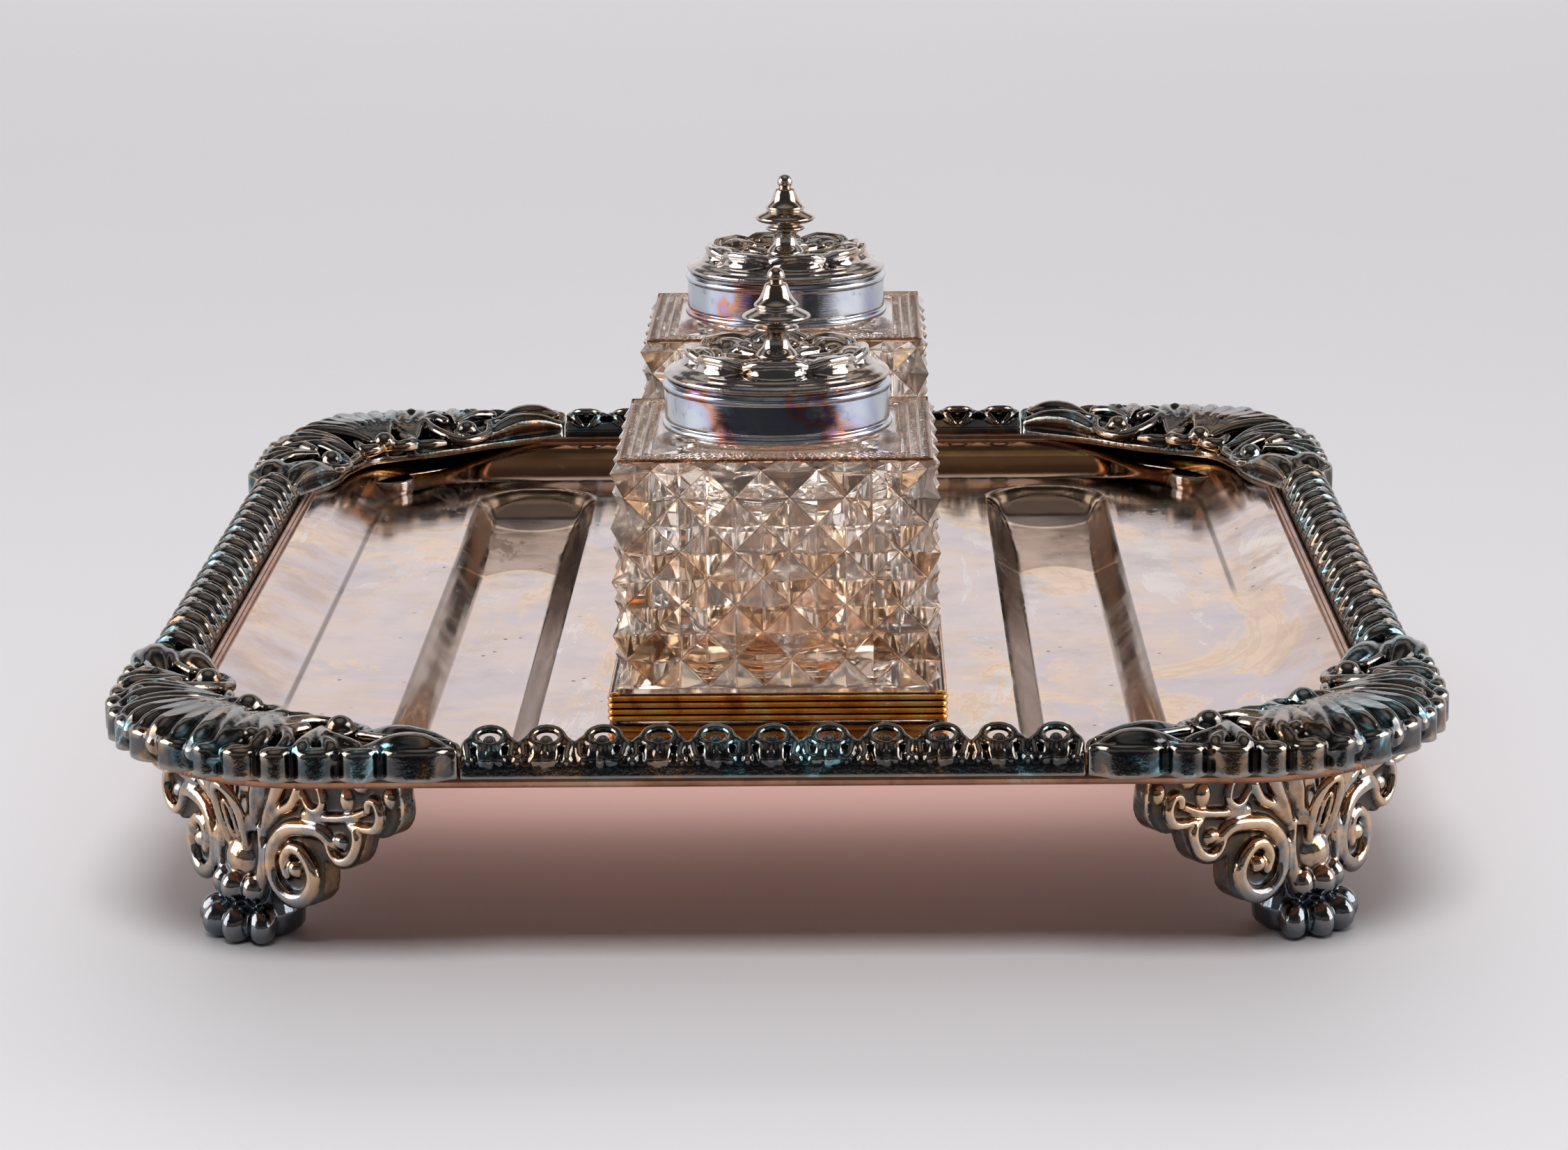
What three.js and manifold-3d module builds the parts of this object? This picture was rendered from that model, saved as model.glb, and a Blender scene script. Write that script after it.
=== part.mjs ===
// Two-bottle inkstand: a footed tray with two pen troughs, a cast border, two square
// hobnail-cut glass ink bottles in reeded frames, and two lift-off covers with finials.
// Millimetres. Origin: centre of the four feet on the table. +Z up, +Y along the tray,
// the front is at -Y.
import * as THREE from "three";
import { mergeVertices } from "three/addons/utils/BufferGeometryUtils.js";
import Module from "manifold-3d";

const wasm = await Module();
wasm.setup();

// ---- driving dimensions ---------------------------------------------------------------
const trayHalfX = 106;            // outer face of the side borders
const trayHalfY = 131;            // outer face of the front and rear borders
const floorZ = 29.1;              // top of the tray floor
const sheet = 1.8;                // thickness of the tray sheet
const fit = 0.3;                  // gap between pieces that touch
const wallRise = 4.6;             // floor to the flange the border stands on
const wallRun = 13;               // width of the curved side wall in plan
const lipRise = 1.5;              // small bead at the head of the wall
const borderSide = 9;             // width of the side borders
const borderEnd = 7.8;            // width of the front and rear borders
const borderOverhang = 3;         // border past the flange
const cornerReachSide = 64.6;     // length of a corner mount along a side
const cornerReachEnd = 57.7;      // length of a corner mount along an end
const cornerRadius = 36;          // plan radius of the outer corner
const cornerSwell = 2.2;          // how far the corner mount's scallops pass the border
const troughWide = 24.5;          // width of a pen trough
const troughDepth = 4.4;
const troughFlat = 23;            // half length of the level trough floor
const bottleY = 53.9;             // bottle centres, front and rear
const glassSize = 54;             // bottle across the points of the cut
const glassTop = 73.3;            // top face of a bottle
const cutDepth = 2.1;             // depth of the hobnail cut
const cutColumns = 11;            // half pitches across one face
const cutRows = 8;                // half pitches up one face
const frameWall = 2;
const frameHigh = 4.5;
const neckRise = 3.9;
const neckWall = 3.6;
const wellFloor = 7;              // glass under the ink well
const coverRadius = 18.93;
const coverWall = 1.53;
const coverPlay = 0.8;            // loose fit of a cover round the neck
const coverHigh = 8.3;
const coverLobes = 8;
const stemRadius = 1.6;
const finialRise = 18.06;         // finial tip over the cover's band
const wingLongEnd = 35;           // reach of the foot wing along the tray's end
const wingLongSide = 30;          // reach of the foot wing along the tray's side
const wingThick = 4.4;
const volute = 6.4;               // radius of the scroll beside the ankle

// ---- sizes that follow ----------------------------------------------------------------
const flangeZ = floorZ + wallRise;
const borderZ = flangeZ + fit;
const standZ = floorZ + fit;
const lipX = trayHalfX - borderSide - 0.5;
const lipY = trayHalfY - borderEnd - 0.5;
const flangeX = trayHalfX - borderOverhang;
const flangeY = trayHalfY - borderOverhang;
const cornerSide = trayHalfY - cornerReachSide;
const cornerEnd = trayHalfX - cornerReachEnd;
const frameSize = glassSize + 2;
const glassTopSize = glassSize - 2.4;
const troughInner = frameSize / 2 + 11.5;
const troughOuter = troughInner + troughWide;
const troughHalf = trayHalfY - 45;
const coverBore = coverRadius - coverWall;
const neckRadius = coverBore - coverPlay;
const mouthRadius = neckRadius - neckWall;
const wellRadius = Math.max(mouthRadius + 0.5, glassSize / 2 - cutDepth - 5.9);
const coverLobeRadius = coverRadius - 3.2;
const coverZ = glassTop + 0.5;
const domeZ = coverZ + coverHigh + fit;
const stemHole = stemRadius + fit;
const finialTop = domeZ + finialRise;
const footX = trayHalfX - 21;
const footY = trayHalfY - 29.5;
const footRise = (flangeZ - sheet) / 31.9;

// ---- finishes -------------------------------------------------------------------------
const finishes = {
  tray: new THREE.MeshStandardMaterial({ color: 0xb9a9a6, roughness: 0.3, metalness: 0.9 }),
  border: new THREE.MeshStandardMaterial({ color: 0x4a4644, roughness: 0.25, metalness: 0.95 }),
  foot: new THREE.MeshStandardMaterial({ color: 0x6b5a50, roughness: 0.25, metalness: 0.95 }),
  frame: new THREE.MeshStandardMaterial({ color: 0x8a5a36, roughness: 0.25, metalness: 0.95 }),
  cover: new THREE.MeshStandardMaterial({ color: 0xb4b0b4, roughness: 0.15, metalness: 1 }),
  glass: new THREE.MeshStandardMaterial({ color: 0xe6e0d8, roughness: 0.05, metalness: 0 }),
};

const object = new THREE.Group();
object.name = "inkstand";

function add(name, geometry, finish) {
  const mesh = new THREE.Mesh(geometry, finishes[finish]);
  mesh.name = name;
  object.add(mesh);
}

// ---- geometry helpers -----------------------------------------------------------------
const V = (x, y, z) => new THREE.Vector3(x, y, z);

function volumeOf(points, triangles) {
  let sum = 0;
  for (const [a, b, c] of triangles) {
    sum += points[a].dot(points[b].clone().cross(points[c]));
  }
  return sum / 6;
}

function fromTriangles(points, triangles) {
  const outward = volumeOf(points, triangles) > 0;
  const index = triangles.flatMap(([a, b, c]) => (outward ? [a, b, c] : [a, c, b]));
  const geometry = new THREE.BufferGeometry();
  const flat = points.flatMap((p) => [p.x, p.y, p.z]);
  geometry.setAttribute("position", new THREE.Float32BufferAttribute(flat, 3));
  geometry.setIndex(index);
  return geometry;
}

// A skin over a row of loops. Ends are closed with fans, or the row joins its own start.
function skin(loops, joined = false) {
  const count = loops[0].length;
  const points = loops.flat();
  const triangles = [];
  const last = joined ? loops.length : loops.length - 1;
  for (let i = 0; i < last; i += 1) {
    const a = i * count;
    const b = ((i + 1) % loops.length) * count;
    for (let j = 0; j < count; j += 1) {
      const k = (j + 1) % count;
      triangles.push([a + j, b + j, b + k], [a + j, b + k, a + k]);
    }
  }
  if (!joined) {
    fan(points, triangles, loops[0], 0, true);
    fan(points, triangles, loops[loops.length - 1], (loops.length - 1) * count, false);
  }
  return fromTriangles(points, triangles);
}

function fan(points, triangles, loop, start, first) {
  const centre = loop.reduce((sum, p) => sum.add(p), V(0, 0, 0)).divideScalar(loop.length);
  const c = points.push(centre) - 1;
  for (let j = 0; j < loop.length; j += 1) {
    const k = (j + 1) % loop.length;
    triangles.push(first ? [c, start + j, start + k] : [c, start + k, start + j]);
  }
}

function solid(geometry) {
  const bare = new THREE.BufferGeometry();
  bare.setAttribute("position", geometry.getAttribute("position").clone());
  if (geometry.index) bare.setIndex(geometry.index.clone());
  const merged = mergeVertices(bare, 1e-4);
  const source = merged.index.array;
  const kept = [];
  for (let i = 0; i < source.length; i += 3) {
    const [a, b, c] = [source[i], source[i + 1], source[i + 2]];
    if (a !== b && b !== c && c !== a) kept.push(a, b, c);
  }
  const vertProperties = new Float32Array(merged.getAttribute("position").array);
  const triVerts = new Uint32Array(kept);
  return new wasm.Manifold(new wasm.Mesh({ numProp: 3, vertProperties, triVerts }));
}

function shape(solidBody) {
  const mesh = solidBody.getMesh();
  const geometry = new THREE.BufferGeometry();
  const position = new Float32Array(mesh.vertProperties);
  geometry.setAttribute("position", new THREE.BufferAttribute(position, 3));
  geometry.setIndex(new THREE.BufferAttribute(new Uint32Array(mesh.triVerts), 1));
  return geometry;
}

function joinAll(geometries) {
  return geometries.map(solid).reduce((sum, next) => sum.add(next));
}

function circle(radius, z, sides, cx = 0, cy = 0) {
  const loop = [];
  for (let i = 0; i < sides; i += 1) {
    const a = (2 * Math.PI * i) / sides;
    loop.push(V(cx + radius * Math.cos(a), cy + radius * Math.sin(a), z));
  }
  return loop;
}

// Turned shape about a vertical axis from [radius, height] pairs.
function turned(profile, sides, cx, cy, joined = false) {
  return skin(profile.map(([r, z]) => circle(r, z, sides, cx, cy)), joined);
}

function roundedLoop(halfX, halfY, radius, z, steps = 6) {
  const loop = [];
  for (let corner = 0; corner < 4; corner += 1) {
    const sx = corner === 0 || corner === 3 ? 1 : -1;
    const sy = corner < 2 ? 1 : -1;
    for (let i = 0; i <= steps; i += 1) {
      const a = ((corner + i / steps) * Math.PI) / 2;
      loop.push(V(sx * (halfX - radius) + radius * Math.cos(a),
        sy * (halfY - radius) + radius * Math.sin(a), z));
    }
  }
  return loop;
}

function squareLoop(half, z, cy, perSide = 1) {
  const corners = [[1, -1], [1, 1], [-1, 1], [-1, -1]];
  const loop = [];
  corners.forEach(([ax, ay], side) => {
    const [bx, by] = corners[(side + 1) % 4];
    for (let i = 0; i < perSide; i += 1) {
      const t = i / perSide;
      loop.push(V(half * (ax + (bx - ax) * t), cy + half * (ay + (by - ay) * t), z));
    }
  });
  return loop;
}

function ball(rx, ry, rz, x, y, z, turn = 0, tilt = 0, around = 8, up = 4) {
  const geometry = new THREE.SphereGeometry(1, around, up);
  geometry.rotateX(Math.PI / 2);
  geometry.scale(rx, ry, rz);
  geometry.rotateY(tilt);
  geometry.rotateZ(turn);
  geometry.translate(x, y, z);
  return geometry;
}

const smooth = (t) => {
  const u = Math.min(1, Math.max(0, t));
  return u * u * (3 - 2 * u);
};

// ---- tray -----------------------------------------------------------------------------
// Plan loops from the centre of the floor out to the flange, raised by a small amount.
function trayTop(raise, flange) {
  const foot = 24;
  const wallFootX = lipX - 1.6 - wallRun;
  const wallFootY = lipY - 1.6 - wallRun - 3;
  const wall = [0, 0.2, 0.4, 0.6, 0.8, 1].map((t) => {
    const z = floorZ + raise + (wallRise + 0.5) * smooth(t);
    return roundedLoop(wallFootX + wallRun * t, wallFootY + (wallRun + 3) * t, foot + wallRun * t, z);
  });
  const lip = [
    roundedLoop(lipX - 1.3, lipY - 1.3, foot + wallRun, flangeZ + lipRise + raise),
    roundedLoop(lipX + raise, lipY + raise, foot + wallRun + 1, flangeZ + lipRise + raise),
    roundedLoop(lipX + raise, lipY + raise, foot + wallRun + 1, flangeZ + raise),
  ];
  const inner = roundedLoop(20, 30, 8, floorZ + raise);
  return [inner, ...wall, ...lip, roundedLoop(...flange, flangeZ + raise)];
}

// The same loops one sheet lower, without the lip, in order from the flange to the centre.
function trayUnder(drop, flange) {
  const highest = flangeZ - sheet - drop;
  const loops = trayTop(-sheet - drop, flange);
  const under = [...loops.slice(0, 7), loops[loops.length - 1]];
  under.flat().forEach((p) => p.setZ(Math.min(p.z, highest)));
  return under.reverse();
}

function troughLoops(widen, drop, topZ, deepest) {
  const slope = troughHalf - troughFlat;
  const stations = [1, 0.84, 0.68, 0.49, 0.27, 0].map((t) => -troughFlat - slope * t);
  stations.push(0);
  const all = [...stations, ...stations.slice(0, -1).reverse().map((y) => -y)];
  return all.map((y) => {
    const ramp = smooth((troughHalf - Math.abs(y)) / (troughHalf - troughFlat));
    const floor = floorZ - drop - 0.1 - (deepest - 0.1) * ramp;
    const shoulder = floorZ - drop;
    const left = troughInner - widen;
    const right = troughOuter + widen;
    return [V(left, y, topZ), V(left, y, shoulder), V(left + 5.5, y, floor),
      V(right - 7, y, floor), V(right, y, shoulder), V(right, y, topZ)];
  });
}

function mirrorX(geometry) {
  const copy = geometry.clone();
  copy.scale(-1, 1, 1);
  const index = copy.index.array;
  for (let i = 0; i < index.length; i += 3) {
    [index[i + 1], index[i + 2]] = [index[i + 2], index[i + 1]];
  }
  return copy;
}

function placeCorner(geometry, sx, sy) {
  const copy = geometry.clone();
  copy.scale(sx, sy, 1);
  if (sx * sy < 0) {
    const index = copy.index.array;
    for (let i = 0; i < index.length; i += 3) {
      [index[i + 1], index[i + 2]] = [index[i + 2], index[i + 1]];
    }
  }
  return copy;
}

const flangeLoop = [flangeX, flangeY, cornerRadius - borderOverhang - 1.5];
const dish = solid(skin([...trayTop(0, flangeLoop), ...trayUnder(0, flangeLoop)]));
const boss = skin(troughLoops(1.6, sheet, floorZ - sheet + 0.5, troughDepth));
const trough = skin(troughLoops(0, 0, floorZ + 2, troughDepth));
const tray = dish.add(solid(boss)).add(solid(mirrorX(boss)))
  .subtract(solid(trough)).subtract(solid(mirrorX(trough)));
add("tray_plate", shape(tray), "tray");

// Space the tray takes up, a little enlarged, that the border and the feet keep clear of.
const wide = [trayHalfX + 40, trayHalfY + 40, cornerRadius + 35];
const underTray = solid(skin([...trayTop(fit, wide), roundedLoop(...wide, 0)]));
const overTray = solid(skin([roundedLoop(...wide, 70), ...trayUnder(fit, wide)]));

// ---- border strips --------------------------------------------------------------------
// A beaded strip along +Y between two ends. Its width runs from inside to outside.
function beadedStrip(inside, outside, reach, beads) {
  const width = outside - inside;
  const loops = [];
  for (let i = 0; i <= 2 * beads; i += 1) {
    const swell = i % 2 === 1 ? 1 : 0;
    const y = -reach + (reach * i) / beads;
    const z = borderZ;
    const at = (t, high) => V(inside + width * t, y, z + high);
    loops.push([at(0, 0), at(1, 0), at(1, 2), at(0.93 + 0.05 * swell, 3.4),
      at(0.72, 4.6 + 1.2 * swell), at(0.4, 5.4 + 1.3 * swell), at(0.12, 4.2 + swell),
      at(0, 2.6)]);
  }
  return skin(loops);
}

const sideStrip = beadedStrip(trayHalfX - borderSide + 0.1, trayHalfX, cornerSide - fit, 19);
const endStrip = beadedStrip(trayHalfY - borderEnd + 0.1, trayHalfY, cornerEnd - fit, 11);
add("border_side_right", sideStrip, "border");
add("border_side_left", mirrorX(sideStrip), "border");
add("border_end_rear", endStrip.clone().rotateZ(Math.PI / 2), "border");
add("border_end_front", endStrip.clone().rotateZ(-Math.PI / 2), "border");

// ---- corner mounts --------------------------------------------------------------------
const cornerCentreX = trayHalfX - cornerRadius + 2;
const cornerCentreY = trayHalfY - cornerRadius;

// Outer outline of a corner mount, and its outward direction, t from the side to the end.
function cornerOutside(t) {
  const straightSide = cornerCentreY - cornerSide;
  const straightEnd = cornerCentreX - cornerEnd;
  const arc = (Math.PI / 2) * cornerRadius;
  const s = t * (straightSide + arc + straightEnd);
  const radiusX = trayHalfX - cornerCentreX;
  if (s < straightSide) return [V(trayHalfX, cornerSide + s, 0), V(1, 0, 0)];
  if (s > straightSide + arc) {
    return [V(cornerCentreX - (s - straightSide - arc), trayHalfY, 0), V(0, 1, 0)];
  }
  const a = (s - straightSide) / cornerRadius;
  return [V(cornerCentreX + radiusX * Math.cos(a), cornerCentreY + cornerRadius * Math.sin(a), 0),
    V(Math.cos(a), Math.sin(a), 0)];
}

const cornerInside = new THREE.CatmullRomCurve3([
  V(trayHalfX - borderSide + 0.1, cornerSide, 0),
  V(trayHalfX - 14.5, trayHalfY - 51, 0), V(trayHalfX - 16.5, trayHalfY - 39, 0),
  V(trayHalfX - 21, trayHalfY - 29.5, 0), V(trayHalfX - 32, trayHalfY - 23.5, 0),
  V(trayHalfX - 44, trayHalfY - 15, 0),
  V(cornerEnd, trayHalfY - borderEnd + 0.1, 0)], false, "catmullrom", 0.5);

function cornerMount() {
  const stations = 30;
  const lobes = 8.5;
  const loops = [];
  for (let i = 0; i <= stations; i += 1) {
    const t = i / stations;
    const [edge, away] = cornerOutside(t);
    const ending = smooth(Math.min(t, 1 - t) * 14);
    const lobe = Math.abs(Math.sin(Math.PI * lobes * t));
    const outer = edge.clone().addScaledVector(away, ending * cornerSwell * (0.35 + 0.65 * lobe));
    const inner = cornerInside.getPoint(t);
    const at = (u, high) => outer.clone().lerp(inner, u).setZ(borderZ + high);
    const rib = 1.1 * lobe;
    loops.push([at(1, -5), at(0, -5), at(0, 3.6 + 0.5 * rib), at(0.1, 5 + 0.6 * rib),
      at(0.35, 6.2 + rib), at(0.62, 6 + 0.9 * rib), at(0.86, 5 + 0.7 * rib), at(1, 3.2)]);
  }
  return shape(solid(skin(loops)).subtract(underTray));
}

const corner = cornerMount();
const corners = { front_left: [-1, -1], front_right: [1, -1], rear_left: [-1, 1],
  rear_right: [1, 1] };
for (const [name, [sx, sy]] of Object.entries(corners)) {
  add(`border_corner_${name}`, placeCorner(corner, sx, sy), "border");
}

// ---- feet -----------------------------------------------------------------------------
// One foot at the +X +Y corner. k runs out along a wing from the ankle, z is height.
const wingEnd = { x: -0.8, y: 0.6, reach: wingLongEnd };
const wingSide = { x: 0.6, y: -0.8, reach: wingLongSide };

function wing({ x, y, reach }) {
  const scale = reach / wingLongEnd;
  const outline = new THREE.Shape();
  outline.moveTo(0, 15);
  outline.absarc(12 * scale, 13.8, volute, Math.PI * 1.05, Math.PI * 1.85, false);
  outline.absarc(21.5 * scale, 20, 4.8, Math.PI * 1.25, Math.PI * 1.9, false);
  outline.absarc(30.5 * scale, 26.6, 4.6, Math.PI * 1.2, Math.PI * 2.1, false);
  outline.lineTo(34 * scale, 32.5);
  outline.lineTo(0, 31.5);
  const slab = new THREE.ExtrudeGeometry(outline, { depth: wingThick, bevelEnabled: false,
    curveSegments: 2 });
  const boss = new THREE.CylinderGeometry(volute - 2.6, volute - 0.3, 2.4, 9);
  boss.rotateX(Math.PI / 2);
  boss.translate(12 * scale, 13.8, wingThick + 0.8);
  // The slab lies in k and z with its face towards the corner.
  const frame = new THREE.Matrix4();
  const along = V(x, y, 0);
  const outward = V(Math.abs(y), Math.abs(x), 0);
  frame.makeBasis(along, V(0, 0, 1), outward);
  frame.setPosition(footX - outward.x * 2, footY - outward.y * 2, 0);
  return [slab, boss].map((part) => {
    part.applyMatrix4(frame);
    return along.clone().cross(V(0, 0, 1)).dot(outward) > 0 ? part : turnedInsideOut(part);
  });
}

function turnedInsideOut(geometry) {
  const bare = new THREE.BufferGeometry();
  bare.setAttribute("position", geometry.getAttribute("position"));
  if (geometry.index) bare.setIndex(geometry.index);
  const copy = mergeVertices(bare, 1e-4);
  const index = copy.index.array;
  for (let i = 0; i < index.length; i += 3) {
    [index[i + 1], index[i + 2]] = [index[i + 2], index[i + 1]];
  }
  return copy;
}

function paw() {
  const diag = Math.SQRT1_2;
  const at = (out, side) => [footX + diag * (out - side), footY + diag * (out + side)];
  const parts = [];
  for (let i = -1.5; i <= 1.5; i += 1) {
    const a = i * 0.62;
    const [x, y] = at(5.6 * Math.cos(a) - 1.5, 6.6 * Math.sin(a));
    parts.push(ball(3.3, 2.4, 2.7, x, y, 2.7, Math.PI / 4 + a));
  }
  for (let i = -1; i <= 1; i += 1) {
    const a = i * 0.72;
    const [x, y] = at(4.3 * Math.cos(a) - 1.6, 5 * Math.sin(a));
    parts.push(ball(2.6, 2.1, 2.6, x, y, 7.3, Math.PI / 4 + a));
  }
  const [hx, hy] = at(-2.2, 0);
  parts.push(turned([[5, 0], [6.2, 1.4], [6, 4.5], [5.2, 8.5], [6.5, 22]],
    8, hx, hy));
  const [bx, by] = at(2.2, 0);
  parts.push(ball(4.6, 4.6, 4.4, bx, by, 12.6, 0, 0, 8, 5));
  return parts;
}

function palmette() {
  const diag = Math.SQRT1_2;
  const at = (out, side) => [footX + diag * (out - side), footY + diag * (out + side)];
  const parts = [];
  for (let i = -1; i <= 1; i += 1) {
    const [x, y] = at(3.6 - Math.abs(i), -4.6 * i);
    parts.push(ball(2, 3, 6.8 - Math.abs(i), x, y, 23.6, Math.PI / 4, 0.22, 6, 4));
  }
  return parts;
}

function foot() {
  const parts = [...paw(), ...palmette(), ...wing(wingEnd), ...wing(wingSide)];
  parts.forEach((part) => part.scale(1, 1, footRise));
  return shape(joinAll(parts).subtract(overTray));
}

const oneFoot = foot();
for (const [name, [sx, sy]] of Object.entries(corners)) {
  add(`foot_${name}`, placeCorner(oneFoot, sx, sy), "foot");
}

// ---- bottle frames --------------------------------------------------------------------
function bottleFrame(cy) {
  const outer = frameSize / 2;
  const inner = outer - frameWall;
  const reed = frameHigh / 4;
  const loops = [squareLoop(inner, standZ, cy)];
  for (let i = 0; i < 4; i += 1) {
    loops.push(squareLoop(outer - 0.45, standZ + reed * i, cy));
    loops.push(squareLoop(outer, standZ + reed * (i + 0.5), cy));
  }
  loops.push(squareLoop(outer - 0.45, standZ + frameHigh, cy));
  loops.push(squareLoop(inner, standZ + frameHigh, cy));
  const posts = [[1, 1], [1, -1], [-1, 1], [-1, -1]].map(([sx, sy]) => {
    const out = outer - 0.75;
    return turned([[0.8, standZ], [1.2, standZ + 2.2], [0.7, standZ + frameHigh + 0.3]],
      8, sx * out, cy + sy * out);
  });
  return shape(posts.reduce((sum, post) => sum.add(solid(post)), solid(skin(loops, true))));
}

// ---- bottles --------------------------------------------------------------------------
// Side loop with every second point standing out, so that neighbours make the hobnails.
function cutLoop(row, z, cy) {
  const low = glassSize / 2 - cutDepth;
  const loop = squareLoop(low, z, cy, cutColumns);
  return loop.map((p, i) => {
    if ((i + row) % 2 === 0) return p;
    const side = Math.floor(i / cutColumns);
    const atCorner = i % cutColumns === 0;
    const away = [[1, 0], [0, 1], [-1, 0], [0, -1]][side];
    const before = [[1, 0], [0, 1], [-1, 0], [0, -1]][(side + 3) % 4];
    const dx = away[0] + (atCorner ? before[0] : 0);
    const dy = away[1] + (atCorner ? before[1] : 0);
    return V(p.x + dx * cutDepth, p.y + dy * cutDepth, z);
  });
}

function bottle(cy) {
  const bottom = standZ;
  const seatHalf = frameSize / 2 - frameWall - 0.4;
  const firstRow = standZ + frameHigh + 0.9;
  const lastRow = glassTop - 2.2;
  const perSide = cutColumns;
  const topHalf = glassTopSize / 2;
  const outside = [squareLoop(seatHalf - 0.6, bottom, cy, perSide),
    squareLoop(seatHalf, bottom + 0.6, cy, perSide),
    squareLoop(seatHalf, firstRow - 0.3, cy, perSide)];
  for (let row = 0; row <= cutRows; row += 1) {
    outside.push(cutLoop(row, firstRow + ((lastRow - firstRow) * row) / cutRows, cy));
  }
  outside.push(squareLoop(topHalf, glassTop, cy, perSide));
  outside.push(squareLoop(topHalf - 1.6, glassTop - 0.7, cy, perSide));
  outside.push(squareLoop(topHalf - 3.2, glassTop, cy, perSide));
  outside.push(squareLoop(topHalf - 4.8, glassTop - 0.7, cy, perSide));
  const block = hobnailBlock(outside);
  const neck = turned([[neckRadius, glassTop - 4], [neckRadius, glassTop + neckRise - 0.6],
    [neckRadius - 0.6, glassTop + neckRise]], 24, 0, cy);
  const top = glassTop + neckRise + 1;
  const well = turned([[wellRadius - 4, bottom + wellFloor], [wellRadius, bottom + wellFloor + 4],
    [wellRadius, glassTop - 8], [mouthRadius, glassTop - 3], [mouthRadius, top]], 24, 0, cy);
  return shape(solid(block).add(solid(neck)).subtract(solid(well)));
}

// Skin whose side panels fold along the valleys, so each stud has four flat facets.
function hobnailBlock(loops) {
  const count = loops[0].length;
  const points = loops.flat();
  const triangles = [];
  for (let i = 0; i < loops.length - 1; i += 1) {
    const a = i * count;
    const b = a + count;
    for (let j = 0; j < count; j += 1) {
      const k = (j + 1) % count;
      const valleyFirst = (i + 1 + j) % 2 === 0;
      if (valleyFirst) triangles.push([a + j, b + k, b + j], [a + j, a + k, b + k]);
      else triangles.push([a + j, a + k, b + j], [a + k, b + k, b + j]);
    }
  }
  fan(points, triangles, loops[0], 0, false);
  fan(points, triangles, loops[loops.length - 1], (loops.length - 1) * count, true);
  return fromTriangles(points, triangles);
}

// ---- covers ---------------------------------------------------------------------------
function coverBand(cy) {
  const r = coverRadius;
  const z = coverZ;
  const top = z + coverHigh;
  return turned([[coverBore, z], [r + 0.1, z], [r + 0.4, z + 0.6], [r + 0.1, z + 1.2],
    [r, z + 1.6], [r, top - 1.6], [r + 0.3, top - 1], [r + 0.3, top - 0.3],
    [r - 0.3, top], [coverBore, top]], 28, 0, cy, true);
}

function coverDome(cy) {
  const z = domeZ;
  const lobed = (radius, high, wave) => circle(radius, z + high, 32, 0, cy).map((p) => {
    const a = Math.atan2(p.y - cy, p.x);
    const swell = 1 + wave * (Math.abs(Math.cos((coverLobes * a) / 2)) - 0.6);
    return V(p.x * swell, cy + (p.y - cy) * swell, p.z);
  });
  const lobe = coverLobeRadius;
  return skin([circle(coverBore - 0.2, z, 32, 0, cy), circle(coverRadius + 0.1, z, 32, 0, cy),
    circle(coverRadius + 0.2, z + 0.5, 32, 0, cy), circle(lobe + 1.4, z + 1.4, 32, 0, cy),
    lobed(lobe - 0.2, 1.8, 0.05), lobed(lobe - 1.4, 4.2, 0.09), lobed(lobe - 3.4, 4.8, 0.1),
    lobed(lobe - 7, 3.4, 0.06), circle(4.2, z + 2.6, 32, 0, cy), circle(stemHole, z + 2.6, 32, 0, cy),
    circle(stemHole, z + 1.5, 32, 0, cy), circle(lobe - 4, z + 1.5, 32, 0, cy)], true);
}

function finial(cy) {
  const base = domeZ + 2.6 + fit;
  const top = finialTop;
  return turned([[stemRadius, domeZ - 1.4], [stemRadius, base], [3.6, base], [3.5, base + 0.6],
    [2.3, base + 2], [2.1, base + 4.2], [3.7, base + 4.9], [3.2, base + 5.6],
    [5.5, top - 8.9], [5.7, top - 8.3], [3.8, top - 7.1], [3.6, top - 6.3], [2.2, top - 4.2],
    [1.8, top - 2.7], [1.2, top - 2.3], [1.4, top - 1.4], [0.9, top - 0.3], [0.3, top]],
  14, 0, cy);
}

function finialNut(cy) {
  const high = domeZ + 1.5 - fit;
  const low = high - 2;
  return turned([[4, low], [4, high], [stemHole, high], [stemHole, low]], 12, 0, cy, true);
}

// ---- the two bottle sets --------------------------------------------------------------
for (const [name, cy] of [["front", -bottleY], ["rear", bottleY]]) {
  add(`bottle_frame_${name}`, bottleFrame(cy), "frame");
  add(`bottle_${name}`, bottle(cy), "glass");
  add(`cover_band_${name}`, coverBand(cy), "cover");
  add(`cover_dome_${name}`, coverDome(cy), "cover");
  add(`finial_${name}`, finial(cy), "cover");
  add(`finial_nut_${name}`, finialNut(cy), "cover");
}

export default object;
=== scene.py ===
"""Two-bottle inkstand: silver-plated footed tray, cast border, glass bottles with covers.

Sizes are millimetres inside the functions and metres in the finished meshes, lights and camera.
+X right, +Y to the rear, +Z up; the origin is on the table, under the stand's middle.
Shapes are given as lists of stations: places along a bar, each with its radius.
"""

import math

import bpy
import numpy as np
from mathutils import Matrix, Vector


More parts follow.
